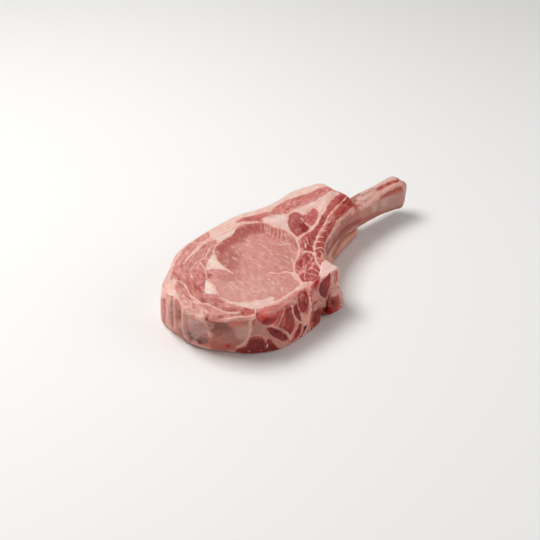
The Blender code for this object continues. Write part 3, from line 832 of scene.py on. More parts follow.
# %% Their colours in light and in hollows
FAT_TINTS_ON_WALL = {
    "flank, first band": ("e3b0a4", 8, 0.9, "50,600 66,596 68,700 66,765 50,740"),
    "flank, orange": ("bd6055", 9, 0.9, "60,644 84,638 86,700 84,765 66,762 58,700"),
    "flank, second band": ("eec7ba", 9, 0.9, "62,590 122,598 125,630 108,634 96,640 72,636"),
    "flank, groove": ("b27a71", 6, 0.85, "103,642 117,640 118,700 117,768 104,770 101,700"),
    "flank, third band": ("dc9f93", 6, 0.9, "126,640 136,650 138,730 142,775 132,785 126,740"),
    "flank, pink": ("da9c93", 9, 0.9, "140,660 158,690 162,710 150,716 142,700"),
    "flank, mauve": ("aa6a63", 9, 0.8, "141,708 158,708 162,735 158,754 148,752 141,730"),
    "flank, dark line": ("a25f57", 4, 0.8, "128,650 133,650 137,740 140,780 134,780 131,720"),
    "flank, foot": ("d2948a", 12, 0.8, "56,765 110,785 130,795 128,830 60,810"),
    "flank, low pale": ("cd9a91", 7, 0.8, "134,762 150,760 158,774 150,788 138,784"),
    "flank, low purple": ("8f5552", 9, 0.9, "150,796 166,788 182,826 196,856 176,850 150,820"),
    "membrane's top": ("cd998f", 18, 0.9, "170,706 214,704 238,716 232,745 214,770 180,765"),
    "membrane's middle": ("b98d88", 18, 0.8, "200,760 270,745 282,790 262,830 215,820 190,790"),
    # The membrane's hollows 1, 2 and 3 are painted dark: painted shade in its small pits, which
    # folds below also sink.
    "membrane, hollow 1": ("6b3a3e", 9, 0.9, "190,808 208,810 210,826 196,832"),
    "membrane, hollow 2": ("6a3236", 9, 0.9, "200,832 222,834 222,848 204,848"),
    "membrane, low middle": ("8f6262", 14, 0.75,
        "190,806 240,820 284,838 286,862 250,864 210,846 192,828"),
    "membrane, low right": ("7c524d", 10, 0.85, "236,842 262,838 284,848 286,866 262,868 242,862"),
    "membrane, hollow 3": ("6f3b3a", 9, 0.8, "240,852 264,856 260,868 242,866"),
    "membrane's flap": ("f0bfb3", 8, 0.9, "232,726 262,722 276,740 272,756 250,752 232,742"),
    "membrane's rim": ("eec8ba", 7, 0.9,
        "170,702 196,695 232,701 256,711 274,722 270,730 246,724 214,718 178,720"),
    # The hollow and its core are painted darker: painted shade inside the hollow, which a bulge
    # below also sinks.
    "hollow": ("a0655c", 22, 0.9,
        "318,768 345,758 380,764 392,784 376,812 350,830 328,830 312,806"),
    "hollow's core": ("84504a", 14, 0.75, "296,764 345,764 384,772 386,790 350,804 304,808"),
    "red under the rim": ("c67569", 14, 0.9,
        "392,758 420,749 458,743 474,752 464,772 440,783 404,779"),
    "nick": ("ad4a3a", 5, 0.85, "277,737 285,743 291,750 286,752 279,745"),
    "second membrane, pale": ("bd9186", 14, 0.8,
        "420,785 470,778 505,770 496,806 472,840 440,835 425,805"),
    "second membrane, grey": ("a0706a", 14, 0.7, "372,806 410,795 418,830 400,855 370,845"),
    "bottom, orange": ("a65e54", 12, 0.8, "300,860 380,866 420,876 420,896 360,896 306,885"),
    "bottom, red spot": ("a83a34", 7, 0.9, "382,872 396,872 398,886 384,886"),
    "bottom left, red": ("b0604f", 7, 0.8, "194,852 222,866 226,880 200,868"),
    "bottom left, pale": ("d3a698", 7, 0.9,
        "224,868 262,880 300,894 360,906 424,904 360,914 290,908 240,892"),
    "column, peach": ("c18c7d", 10, 0.9, "630,866 664,862 684,862 670,882 650,894"),
    "column, grey top": ("b07e74", 10, 0.7, "524,776 570,782 590,800 586,826 550,822 520,812"),
    "band, red": ("b8665e", 8, 0.8, "806,650 824,650 826,668 810,670"),
    "band, orange": ("d8928a", 10, 0.8, "808,605 836,605 846,640 826,655 812,640"),
    "curve, lower band": ("c88e7f", 10, 0.9,
        "1040,300 1004,336 968,366 940,400 915,440 908,470 930,440 960,404 1010,360"),
    "curve, shaded line": ("96604f", 6, 0.8,
        "1050,266 1010,290 975,322 948,352 928,390 912,430 920,440 940,396 964,362 1000,326"
        " 1040,290"),
    # The darker band along the foot of the curve is painted shade under the lower band.
    "curve, shaded foot": ("a5705e", 8, 0.8,
        "1030,345 985,392 945,432 925,462 915,470 935,430 975,386 1015,350"),
}
LEAN_TINTS_ON_WALL = {
    "lobe, upper blend": ("cc716a", 16, 0.8, "560,704 600,700 640,698 646,712 612,726 570,726"),
    "lobe, right edge": ("a5403b", 9, 0.7, "628,714 644,710 640,740 626,752"),
    "dark bundle, right part": ("8e433e", 9, 0.6,
        "646,818 668,828 684,842 668,848 650,840 640,828"),
    # The brighter red at the lobe's left is partly the lobe's own red and partly a painted sheen of
    # light.
    "lobe, painted sheen": ("ca594f", 7, 0.8, "532,728 548,722 560,728 552,742 538,744"),
    "lobe, deep": ("80211f", 13, 0.85, "566,752 600,738 624,742 604,766 576,770"),
    "bundle, left side": ("a8554f", 8, 0.8, "660,716 674,700 690,694 676,740 664,780 652,782"),
    "bundle, streak": ("a8564f", 5, 0.6, "692,704 700,700 698,760 688,800 684,780"),
    "right muscle, light": ("b8655f", 9, 0.6, "746,618 764,610 768,626 754,640 744,640"),
    "right muscle, deep": ("8c3133", 12, 0.8, "758,650 776,640 784,668 774,694 762,690"),
    "lower right spot": ("6a2423", 6, 0.8, "736,790 748,790 746,806 734,806"),
    "foot of the right, spot": ("4f1c1b", 6, 0.8, "776,776 790,776 786,796 774,796"),
    "low muscle, upper edge": ("a85c56", 7, 0.7,
        "498,846 516,832 542,829 562,832 576,848 560,846 538,842 516,848"),
    "low muscle, upper edge 2": ("a85c56", 6, 0.6, "592,844 608,848 624,866 614,866 602,858"),
    "low muscle, deep": ("6a2725", 14, 0.5, "500,862 560,856 576,884 520,900 490,890"),
    "low muscle, left": ("8a4038", 10, 0.6, "440,900 490,884 500,905 460,915"),
}
print(len(FAT_TINTS_ON_WALL) + len(LEAN_TINTS_ON_WALL), "tints on the outside")

# %% Their seams
# Here a seam also has a colour, between its widths and its line.
SEAMS_ON_WALL = {
    "under the first rim": (5, 4, "e0bcb2", "196,702 230,709 256,718 272,726"),
    "flank, line 1": (15, 10, "dba79c", "91,640 91,690 91,740 94,778"),
    "flank, line 2": (8, 5, "dfaca1", "120,640 121,690 122,740 127,786"),
    "ridge 1": (7, 6, "d9a99d", "168,704 166,743 165,770 171,800 179,826 196,852 225,868"),
    "ridge 2": (6, 3, "dcab9e", "275,755 280,775 286,795 295,813 303,828"),
    "rim of the hollow, left": (5, 6, "dd998d", "300,740 318,744 345,751 372,755 392,751"),
    # The rim of the hollow is pale fat, painted lighter still where light falls on the rim: its own
    # colour and painted light.
    "rim of the hollow": (7, 11, "efbcaf", "385,753 425,745 458,742 497,741 525,730"),
    "rim turned down": (8, 6, "ecbcb0", "531,698 528,712 524,733"),
    "membrane line": (0.6, 0.4, "b5958d", "206,825 236,808 262,798 290,784"),
    "membrane line 2": (0.5, 0.3, "b5958d", "219,843 246,822 268,806 284,798"),
    "membrane line 3": (0.6, 0.4, "ad8b84", "186,816 204,806 222,800"),
    "membrane line 5": (1, 0.6, "cba69c", "196,752 224,760 250,756"),
    "second membrane's edge": (3, 2, "d2a89b", "500,762 502,790 494,826 474,862 440,884"),
    "hollow line": (1.5, 1, "b98f86", "300,770 312,778 310,790 298,790"),
    "lobe's white line": (3, 2.5, "dda79d",
        "586,714 614,705 647,694 669,673 697,664 725,658 738,666"),
    "under the red lobe": (4, 4, "bb857b", "532,756 550,770 575,781 600,779 618,772"),
    "film, line 1": (3, 2, "c98a81", "652,702 645,725 636,752 622,775"),
    "over the dark bundle": (4, 3, "d0a298", "600,774 626,782 650,790 672,802 692,820 700,846"),
    "bundle, left": (4, 4, "d29f96", "668,700 660,722 650,748 642,772"),
    "bundle, right": (4, 4, "d8a69c", "708,684 714,717 720,738 736,754 754,763 769,767"),
    "bundle, foot": (5, 4, "d0988f", "738,762 736,783 719,817 703,846"),
    "right edge": (3, 3, "cf9890", "736,640 738,668 746,700 760,716 778,728"),
    "down the right": (5, 5, "cf988f", "772,768 766,792 756,815 742,838"),
    "down the right 2": (5, 4, "cf988f", "796,742 792,770 782,800 764,826"),
    "low V": (2, 1, "a8766e", "566,832 576,846 578,862"),
    "low fleck 1": (1.5, 1, "c2938a", "588,870 582,882"),
    "low fleck 2": (1, 0.5, "b98a82", "550,898 556,902"),
    "low fleck 3": (1.5, 1, "b98a82", "492,905 500,908"),
    "band": (6, 6, "e0aaa1", "772,584 790,590 808,606 815,640 806,680 794,722 782,756 774,772"),
    "right muscle, streak 1": (1.5, 1, "cf8f87", "742,632 752,640 758,656"),
    "right muscle, streak 2": (1.5, 1, "cf8f87", "748,620 760,630 768,650"),
    "right muscle, streak 3": (1, 1, "c07a73", "762,616 776,636 780,660"),
    "band's branch": (5, 4, "cf958c", "792,722 800,740 800,760"),
}
print(len(SEAMS_ON_WALL), "seams and edges of membranes")

# %% Their folds and bulges
# A fold is its height in mm, its reach in marks and its line. A bulge is a height and an outline.
FOLDS_ON_WALL = {
    "flank 1": (0.5, 14, "90,620 91,690 92,770"),
    "flank 2": (-0.8, 9, "110,640 110,700 112,775"),
    "flank, hump 1": (0.6, 12, "70,610 72,690 72,760"),
    "flank, hump 3": (0.5, 8, "120,650 123,720 128,786"),
    "flank, dark line": (-0.5, 6, "131,650 134,720 138,780"),
    "flank 4": (-0.4, 10, "148,690 152,740 150,790"),
    "flap": (0.5, 16, "240,732 256,734 268,744"),
    "nick": (-0.8, 6, "280,740 288,748"),
    "membrane line 4": (0.15, 5, "246,826 258,842 270,852"),
    "hollow 1": (-0.9, 10, "196,815 204,820"),
    "hollow 2": (-1.1, 12, "206,840 216,842"),
    "hollow 3": (-0.8, 11, "246,858 258,862"),
    "rim of the hollow": (0.9, 12,
        "300,738 345,748 372,752 392,748 425,742 458,739 497,738 525,728"),
    "over the dark bundle": (0.7, 9, "600,780 625,788 650,796 669,806 690,822 698,846"),
    "lobe's white line": (0.2, 8, "586,714 614,705 647,694 669,673 697,664 725,658"),
    "curve, line": (-0.6, 8, "1050,268 1008,296 970,330 940,362 920,396 908,430"),
}
FOLDED_SEAMS_ON_WALL = {
    "ridge 1": (1.0, 10),
    "ridge 2": (0.9, 9),
    "membrane line": (0.2, 6),
    "membrane line 2": (0.15, 5),
    "second membrane's edge": (0.5, 8),
    "rim turned down": (0.8, 9),
    "bundle, left": (0.5, 8),
    "bundle, right": (0.7, 9),
    "bundle, foot": (0.5, 8),
    "right edge": (0.5, 8),
    "band": (0.7, 14),
}
BULGES_ON_WALL = {
    "first membrane": (0.5, "190,720 260,730 272,790 270,840 220,840 196,800"),
    "hollow": (-0.9, "312,768 345,758 380,764 392,784 376,812 350,830 328,830 312,806"),
    "second membrane": (0.8, "390,790 500,770 496,820 440,870 370,840"),
    "red lobe": (1.0, "532,738 552,718 600,716 640,712 628,752 600,770 562,764"),
    "dark bundle": (-0.8, "590,795 615,794 655,816 680,838 660,848 620,832"),
    "first bundle": (0.7, "662,745 680,700 704,690 714,730 706,790 670,796"),
    "second bundle": (-0.9, "718,690 736,668 746,700 752,740 730,732"),
    "right muscle": (0.6, "744,640 762,608 784,635 788,685 768,708 752,695"),
    "pale column": (-0.5, "510,790 580,786 620,850 600,850 560,826"),
    "low muscle": (0.4, "490,870 560,840 640,890 520,905"),
}
ROUGH_ON_WALL = {
    "flank": (0.35, "40,600 160,690 190,850 420,900 420,960 20,900"),
    "membranes": (0.45, "168,702 280,740 400,760 520,760 500,830 440,890 300,870 200,850"),
    "muscles": (0.9, "520,700 700,655 800,600 800,760 700,870 600,910 480,915 500,830"),
    "curve": (0.3, "1046,222 1078,262 1036,336 925,480 868,440 930,352 1000,262"),
}


def paint_walls(canvas):
    use(fat, canvas, SKIN_ON_WALL)
    use(lean, canvas, MUSCLE_ON_WALL)
    use(tint, canvas, FAT_TINTS_ON_WALL, what="fat")
    use(tint, canvas, LEAN_TINTS_ON_WALL)
    use(seam, canvas, SEAMS_ON_WALL)
    use(fold, canvas, FOLDS_ON_WALL)
    fold_seams(canvas, SEAMS_ON_WALL, FOLDED_SEAMS_ON_WALL)
    use(bulge, canvas, BULGES_ON_WALL)
    use(roughen, canvas, ROUGH_ON_WALL)


print(len(FOLDS_ON_WALL) + len(BULGES_ON_WALL), "folds and bulges on the outside")

# %% [markdown]
# ## Painting the meat
#
# The seen canvas takes the cut face and the walls, the other one only the cut face, which then
# runs down the far side as the layers of a real chop do. Every point is then pushed along its
# normal by the height it was given, and what the material reads is stored on it.

# %% Mottling and joints
EYE_MIDDLE = (-46.0, 3.0)
EYE_RADIUS = 40.0
EYE_RIM = (1.0, -1.0)  # mm outside and inside the rim, between which the patterns fade
BELLY_FROM, BELLY_TO = -8.0, 14.0  # mm along x
FLAT_FROM, FLAT_TO = 0.35, 0.8  # upward part of the normal
MOTTLES = ((0.6, 2.4, 5.0), (0.5, 1.2, 9.0))  # amount, size in mm and seed
JOINT_REACH = 1.8 * MM
JOINT_SWELL = 0.85


def flow_field(points, normals):
    """Mottling that follows the meat: round the eye on the cut face, straight down on the walls."""
    mm = points / MM
    above = points.copy()
    above[:, 2] = THICKNESS
    out = -depth_in(marks_of(above), EYE, reach=400) * MM_PER_MARK
    turn = np.arctan2(mm[:, 1] - EYE_MIDDLE[1], mm[:, 0] - EYE_MIDDLE[0])
    wrapped = np.stack([out, EYE_RADIUS * turn * 0.5, mm[:, 2] * 0.4], axis=1)
    grained = mm * (1.0, 0.6, 0.4)
    layered = mm * (0.45, 1.1, 0.4)
    down = mm * (1.0, 1.0, 0.5)
    around, in_grain, in_layers, on_wall = (
        sum(amount * lumps(way, size, seed) for amount, size, seed in MOTTLES)
        for way in (wrapped, grained, layered, down)
    )
    in_eye = step(*EYE_RIM, out)
    in_belly = step(BELLY_FROM, BELLY_TO, mm[:, 0])
    round_eye = around * (1 - in_belly) + in_layers * in_belly
    on_cut = round_eye * (1 - in_eye) + in_grain * in_eye
    flat = step(FLAT_FROM, FLAT_TO, np.abs(normals[:, 2]))
    return on_cut * flat + on_wall * (1 - flat)


def close_joint(points, others):
    """Swells the skin a little where another piece lies right beside it."""
    tree = sight_tree(others)
    swell = np.zeros(len(points))
    for i, p in enumerate(points):
        gap = tree.find_nearest(Vector(p), JOINT_REACH)[3]
        if gap is not None:
            swell[i] = JOINT_SWELL * (1 - gap / JOINT_REACH)
    return swell


print("the skin swells by", JOINT_SWELL, "mm at a joint")

# %% Join, raise, store
LUMP_HEIGHT = 0.22
# Share by which paint is made lighter in a joint: painted light against the shade of the narrow gap
# between two pieces.
JOINT_PAINTED_LIGHT = 0.5
# The lean just outside the fat is made darker and redder by these factors: painted shade at the
# foot of the fat, which stands above the lean.
SHADE_BESIDE_FAT = (0.95, 0.88, 0.88)
SHADE_BESIDE_FAT_RISE, SHADE_BESIDE_FAT_FALL = (-1.8, -0.5), (0.3, -0.2)  # mm from the edge of the fat
WALL_LIFT = 0.25
WALL_FROM, WALL_TO = 0.75, 0.25  # upward part of the normal
GLOSS_VEIL = 0.028
LEAST_MATT = 0.3
BRIGHTEST = 0.95
FLOOR_GRIP = 1.5 * MM


def store(mesh, name, values):
    single = values.ndim == 1
    made = mesh.attributes.new(name, "FLOAT" if single else "FLOAT_VECTOR", "POINT")
    made.data.foreach_set("value" if single else "vector", values.astype(np.float32).ravel())


def join_canvases(seen, hidden, share):
    joined = {}
    for key in ("lean", "fat", "edge", "marble", "rough", "raise"):
        part = share[:, None] if seen[key].ndim == 2 else share
        joined[key] = hidden[key] * (1 - part) + seen[key] * part
    return joined


def finish_skin(piece, seen, hidden, share):
    """Joins the two canvases, raises the surface and stores the paint."""
    mesh = piece.data
    points = numbers(mesh.vertices, "co")
    normals = numbers(mesh.vertex_normals, "vector")
    joined = join_canvases(seen, hidden, share)
    lift = 1 + WALL_LIFT * step(WALL_FROM, WALL_TO, normals[:, 2]) * share
    for key in ("lean", "fat"):
        matt = np.maximum(joined[key] - GLOSS_VEIL, joined[key] * LEAST_MATT)
        joined[key] = np.minimum(matt * lift[:, None], BRIGHTEST)
    # Painted shade: the lean right beside the fat is darkened.
    shade_beside_fat = step(*SHADE_BESIDE_FAT_RISE, joined["edge"]) * step(*SHADE_BESIDE_FAT_FALL, joined["edge"])
    joined["lean"] *= 1 - shade_beside_fat[:, None] * (1 - np.array(SHADE_BESIDE_FAT))
    joined["mottle"] = joined["rough"] * flow_field(points, normals)
    swell = close_joint(points, [other for other in (meat, rib, chine) if other != piece])
    # Painted light: lean and fat are lightened where another piece lies close, against the shade in
    # the gap.
    for key in ("lean", "fat"):
        joined[key] *= 1 + JOINT_PAINTED_LIGHT * (swell[:, None] / JOINT_SWELL) ** 2
    raised = joined["raise"] + LUMP_HEIGHT * joined["mottle"] + swell
    height = raised * step(0, FLOOR_GRIP, points[:, 2])
    points += normals * height[:, None] * MM
    low, high = (np.array(corner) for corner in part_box(piece["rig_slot"]))
    mesh.vertices.foreach_set("co", np.clip(points, low, high).ravel())
    for key in ("lean", "fat", "edge", "marble", "mottle"):
        store(mesh, key, joined[key])
    mesh.update()
    print(piece.name, "is raised by", raised.min().round(2), "to", raised.max().round(2), "mm")


seen, hidden, share = canvases(meat, "c98179", "e3beb2")
paint_cut(seen)
paint_cut(hidden)
paint_walls(seen)
finish_skin(meat, seen, hidden, share)

# %% [markdown]
# ## The rib and the backbone
#
# The rib shows twice. Inside the curve of the chop its inner face lies bare as a mauve band, and
# past the tail it is scraped, with a pink ridge along the top and shreds of red left in a groove.
# The backbone was sawn through, so its corner shows spongy red marrow inside pale rims of bone.
# The same brushes serve, with fat standing for hard pale bone and lean for what is soft and red.

# %% The rib
# All its colours lie in the layer that stands for bone, so they are tints of fat.
RIB_TINTS = {
    "near side": ("b58d82", 10, 0.9,
        "1040,230 1100,190 1200,130 1290,95 1300,180 1200,230 1100,270 1040,300"),
    "tip": ("ae8479", 10, 0.8, "1225,110 1290,80 1300,180 1240,190"),
    "grey of the side": ("aa837a", 12, 0.8,
        "1080,215 1160,175 1240,140 1240,165 1160,200 1090,240"),
    "under side": ("a3695d", 10, 0.9,
        "1040,262 1100,236 1150,211 1210,192 1270,178 1270,210 1150,240 1060,290"),
    "top": ("d3a69b", 8, 0.9,
        "1030,170 1100,110 1180,50 1250,20 1290,50 1256,76 1162,124 1090,172 1040,205"),
    "tip's top": ("b98076", 10, 0.95, "1205,38 1245,34 1262,48 1240,62 1210,58"),
    # A reddish band along the side just below the ridge: painted shade.
    "painted shade below the ridge": ("a9554c", 14, 0.9,
        "1150,132 1190,106 1230,84 1262,72 1276,84 1264,100 1232,110 1192,126 1160,142"),
    "groove": ("bf6a60", 8, 0.85,
        "1130,92 1156,78 1184,64 1212,52 1234,48 1242,58 1218,66 1190,78 1160,92 1138,102"),
    "groove's middle": ("9a453f", 7, 0.65, "1180,66 1200,56 1204,64 1184,74"),
    "groove's end": ("93352f", 7, 0.8, "1222,50 1236,50 1238,60 1226,62"),
    "groove's start": ("9c4a43", 8, 0.65, "1140,86 1158,76 1162,86 1146,96"),
    "red shred 1": ("9c3f38", 4, 0.85, "1020,152 1036,158 1040,166 1026,162"),
    "red shred 2": ("a84a42", 5, 0.9, "1034,184 1056,186 1060,196 1040,198"),
    "red shred 3": ("b0554c", 5, 0.8, "1056,172 1068,178 1066,190 1056,186"),
    "side, pale patch 1": ("d5ada1", 12, 0.4, "1110,178 1122,166 1134,178 1130,204 1114,208"),
    "side, pale patch 2": ("d2a99d", 14, 0.4, "1160,150 1180,138 1186,160 1176,182 1162,176"),
    "side, dark patch": ("a06a60", 12, 0.4, "1092,196 1106,190 1108,216 1094,222"),
    "red at the meat": ("b55a53", 9, 0.9, "1018,165 1040,175 1060,190 1058,206 1036,204 1020,190"),
    "inner face": ("ae7268", 12, 1.0,
        "1092,196 1045,203 1010,210 980,236 950,268 925,308 905,345 890,385 886,420 900,425"
        " 915,380 940,335 970,296 1010,264 1050,246 1092,224"),
    "inner face, mauve": ("a16e68", 8, 0.9,
        "1010,222 985,246 955,280 930,318 910,355 897,398 905,404 922,362 945,322 970,290"
        " 1000,256"),
    "line under it": ("8f4f48", 6, 0.85,
        "1066,240 1012,262 984,278 962,298 942,324 927,350 912,378 902,405 908,412 922,386"
        " 938,362 956,338 978,314 998,297 1022,280 1040,268"),
    "inner face, foot": ("8f564f", 10, 0.85, "905,318 925,326 912,372 898,420 882,420 884,380"),
    "inner face, far end": ("b5877b", 12, 0.8, "1050,208 1092,196 1092,224 1056,236"),
    "red under the near side": ("a5655a", 9, 0.7,
        "1070,240 1110,222 1150,206 1150,216 1112,234 1072,252"),
}
RIB_SEAMS = {
    "ridge": (12, 10, "e6b0a3", "1052,192 1087,170 1119,146 1162,114 1200,91 1231,74 1254,66"),
    "far edge": (7, 6, "e6beb4", "1060,112 1100,90 1150,67 1190,48 1222,41"),
    "bump 1": (7, 5, "dcaaa0", "1050,150 1066,152 1078,148"),
    "bump 2": (7, 5, "dcaaa0", "1036,165 1050,172 1064,180"),
    "bump 3": (5, 4, "e3b8ae", "1042,144 1054,140 1068,142"),
    "bump 4": (4, 3, "e0b4a9", "1078,128 1092,126 1102,120"),
    "tip's rim": (4, 4, "c9a196", "1266,76 1278,104 1280,140 1274,168"),
    "inner face's edge": (2.5, 2, "b98478", "1030,206 990,232 955,264 928,304 906,344 892,386"),
}
RIB_FOLDS = {
    "groove": (-0.6, 10, "1136,96 1162,82 1190,70 1215,58 1234,54"),
    "line under the inner face": (-0.5, 7,
        "1035,250 1010,265 985,280 965,300 945,325 930,350 915,375 905,400"),
}
FOLDED_RIB_SEAMS = {
    "ridge": (0.5, 11),
    "bump 1": (0.7, 10),
    "bump 2": (0.7, 10),
}


def paint_rib(canvas):
    canvas["marble"][:] = 1
    use(tint, canvas, RIB_TINTS, what="fat")
    use(seam, canvas, RIB_SEAMS)
    use(fold, canvas, RIB_FOLDS)
    fold_seams(canvas, RIB_SEAMS, FOLDED_RIB_SEAMS)


def all_bone(*canvas_pair):
    """Bone is hard all through, so every point lies deep in what stands for fat."""
    for canvas in canvas_pair:
        canvas["edge"][:] = DEEPEST


seen, hidden, share = canvases(rib, "a06058", "b5857a")
all_bone(seen, hidden)
paint_rib(seen)
finish_skin(rib, seen, hidden, share)

# %% The backbone
CHINE_AREAS = {
    "first marrow": ("86403f",
        "901,512 888,526 863,551 848,576 843,602 851,626 872,639 885,628 892,602 898,570 902,538"),
    "foot": ("8c4a42", "790,780 835,764 860,745 860,784 820,800 790,800"),
    "blood": ("74130f", "877,697 890,687 904,692 912,706 906,722 890,726 877,716"),
}
CHINE_FAT_TINTS = {
    "tip": ("e9c6be", 6, 0.95,
        "846,520 858,480 868,455 892,448 914,462 936,478 946,492 926,506 900,514 883,533 860,546"),
    "column": ("d2a096", 6, 0.95,
        "903,518 925,502 944,494 950,530 950,590 912,596 901,588 903,550"),
    "column, left": ("c79b90", 5, 0.8, "903,520 912,516 912,590 902,588"),
    "column's red": ("c06b63", 6, 0.9, "920,510 937,504 938,546 930,562 920,567 921,533"),
    "under the first marrow": ("b37a72", 8, 0.9, "846,642 870,652 890,646 888,668 868,672 846,660"),
    "left of the first marrow": ("d28d85", 10, 0.9, "820,600 840,600 846,640 830,660 812,650"),
    "pale arc": ("ae776e", 6, 0.95, "832,682 844,668 862,666 870,680 864,694 838,694"),
    "red dot": ("8e3a38", 6, 0.9, "822,656 834,656 834,668 822,668"),
    "main, lower": ("9c554c", 10, 0.8, "860,690 884,680 884,720 858,756 862,720"),
    "lobe": ("bd6c63", 8, 0.9, "900,596 945,592 972,650 960,700 925,722 890,726 886,690 892,640"),
    "lobe's rim": ("cf9a8f", 7, 0.9,
        "922,590 942,592 956,610 968,650 966,672 956,676 950,640 936,612 918,602"),
    "lobe's foot": ("9c3d33", 8, 0.8, "906,700 926,690 944,700 925,718 906,728"),
    # The dark colour in the narrow gap beside the lobe is painted shade.
    "shaded gap beside the lobe": ("5a2a28", 6, 0.9,
        "898,606 902,616 892,650 884,690 874,708 868,700 878,670 888,636"),
    "second marrow": ("8a3a34", 16, 0.85,
        "822,698 842,692 860,700 862,720 857,746 844,764 822,770 814,764 812,740 814,716"),
    "below the second marrow": ("a8645b", 9, 0.8, "798,768 820,766 830,776 806,802 792,798"),
    "second marrow, deep 1": ("5a1f1b", 12, 0.8, "830,704 844,702 846,722 832,724"),
    "second marrow, deep 2": ("5f2420", 8, 0.7, "812,742 828,738 826,758 812,758"),
    "lobe's marrow": ("964f48", 18, 0.85,
        "904,640 918,628 934,634 942,655 938,680 920,696 902,704 898,680 900,655"),
    "lobe's marrow, deep 3": ("602a27", 8, 0.8, "908,654 920,650 924,668 912,676"),
    "lobe's marrow, deep 4": ("68302c", 6, 0.7, "904,636 912,634 912,644 904,646"),
    "lobe, red spot": ("a8473f", 9, 0.8, "924,676 940,668 942,684 928,692"),
    "blood above": ("b01c22", 13, 0.9, "822,572 833,556 852,560 850,582 838,600 824,596"),
    "lobe, pale top": ("d8a499", 8, 0.8, "905,602 925,598 940,612 934,626 912,630 902,618"),
    "blood, pink": ("ffbfb4", 7, 0.85,
        "848,548 870,530 890,514 904,508 906,516 886,530 866,548 852,560"),
}
CHINE_LEAN_TINTS = {
    "first marrow, deep": ("56282a", 16, 0.7, "850,582 866,572 873,598 868,632 858,628 848,604"),
    "first marrow, red": ("93403f", 8, 0.7, "880,548 898,540 896,580 884,590"),
    "blood's glow": ("982018", 7, 0.7, "886,694 904,694 910,712 892,720"),
}
CHINE_SEAMS = {
    "column's edge": (4, 4, "d9ada2", "944,494 948,530 948,586"),
    "first rim": (2, 2, "c08d84",
        "876,536 856,556 840,584 836,606 844,632 870,650 892,636 901,606 906,570"),
    "pale arc": (6, 5, "c2958a", "822,694 832,676 848,664 864,664 874,678"),
    "lobe's rim": (5, 5, "cf9c90", "921,588 942,592 956,610 967,650 966,672"),
}
CHINE_FOLDS = {
    "lobe's marrow": (-0.4, 14, "920,620 924,650 914,680"),
    "crack": (-1.1, 7, "904,596 922,588 944,588"),
    "column, hollow": (-0.4, 7, "928,512 930,545"),
    "slit": (-1.0, 6, "846,654 862,660 874,674"),
    "shaded gap beside the lobe": (-1.4, 9, "900,606 892,640 884,680 872,706"),
}
FOLDED_CHINE_SEAMS = {
    "first rim": (0.25, 7),
    "pale arc": (0.7, 9),
    "lobe's rim": (0.4, 8),
}
TIP_EDGE = (-4, 8)  # marks outside and inside the smooth tip, between which the sponge begins


def paint_chine(canvas):
    canvas["marble"] = 1 - step(*TIP_EDGE, depth_in(canvas["marks"], CHINE_FAT_TINTS["tip"][-1]))
    use(lean, canvas, CHINE_AREAS, marble=0.3)
    use(tint, canvas, CHINE_FAT_TINTS, what="fat")
    use(tint, canvas, CHINE_LEAN_TINTS)
    use(seam, canvas, CHINE_SEAMS)
    use(fold, canvas, CHINE_FOLDS)
    fold_seams(canvas, CHINE_SEAMS, FOLDED_CHINE_SEAMS)


seen, hidden, share = canvases(chine, "733938", "a8675e")
all_bone(seen, hidden)
paint_chine(seen)
finish_skin(chine, seen, hidden, share)

# %% [markdown]
# ## The materials
#
# A material is built from small nodes that hand numbers and colours on. One function adds a node,
# and a few short ones name what is asked of it again and again: a soft noise, a ramp from one
# range to another, a sum, and a mix of two colours.


# %% A helper for nodes
MARBLE_FAT = "e8c0b5"
FAT_SPECK = "c98478"
BONE_STREAK = "b06a60"
BONE_RED = "8c3f39"


def new_material(name):
    material = bpy.data.materials.new(name)
    material.use_nodes = True
    tree = material.node_tree
    tree.nodes.clear()
    return material, tree


def node(tree, kind, values=None, **settings):
    """Adds one node. A value is a number, a colour, or the output of another node."""
    made = tree.nodes.new("ShaderNode" + kind)
    for name, value in settings.items():
        setattr(made, name, value)
    for socket, value in (values or {}).items():
        if isinstance(value, bpy.types.NodeSocket):
            tree.links.new(value, made.inputs[socket])
        else:
            made.inputs[socket].default_value = value
    return made


def rgba(hex_colour):
    return (*linear(hex_colour), 1.0)


print("the red of sawn bone is", [round(float(c), 3) for c in rgba(BONE_RED)])


# %% What is asked of nodes again and again
def stored(tree, name, output="Fac"):
    """What was painted on the skin under this name."""
    return node(tree, "Attribute", attribute_name=name).outputs[output]


def calc(tree, operation, *values):
    return node(tree, "Math", dict(enumerate(values)), operation=operation).outputs[0]


def soft_noise(tree, where, scale, detail=2.0, roughness=0.5, distortion=0.0):
    sockets = {"Vector": where, "Scale": scale, "Detail": detail, "Roughness": roughness}
    sockets["Distortion"] = distortion
    return node(tree, "TexNoise", sockets).outputs["Fac"]


def ramp(tree, value, low, high, to_low=0.0, to_high=1.0, kind="SMOOTHSTEP"):
    """Turns low to high into to_low to to_high, with soft ends or LINEAR."""
    sockets = {"Value": value, "From Min": low, "From Max": high}
    sockets.update({"To Min": to_low, "To Max": to_high})
    return node(tree, "MapRange", sockets, interpolation_type=kind).outputs["Result"]


def mix(tree, share, first, second):
    sockets = {"Factor": share, 6: first, 7: second}
    return node(tree, "Mix", sockets, data_type="RGBA").outputs[2]


def toned(tree, colour, tone):
    """A colour made lighter or darker by one number."""
    sockets = {0: colour, "Scale": tone}
    return node(tree, "VectorMath", sockets, operation="SCALE").outputs["Vector"]


def times(tree, colour, factors):
    """A colour whose red, green and blue are each multiplied."""
    return node(tree, "VectorMath", {0: colour, 1: factors}, operation="MULTIPLY").outputs[0]


def off_middle(tree, value):
    """How far a noise is from its middle. Where that is near 0, thin threads run."""
    return calc(tree, "ABSOLUTE", calc(tree, "SUBTRACT", value, 0.5))


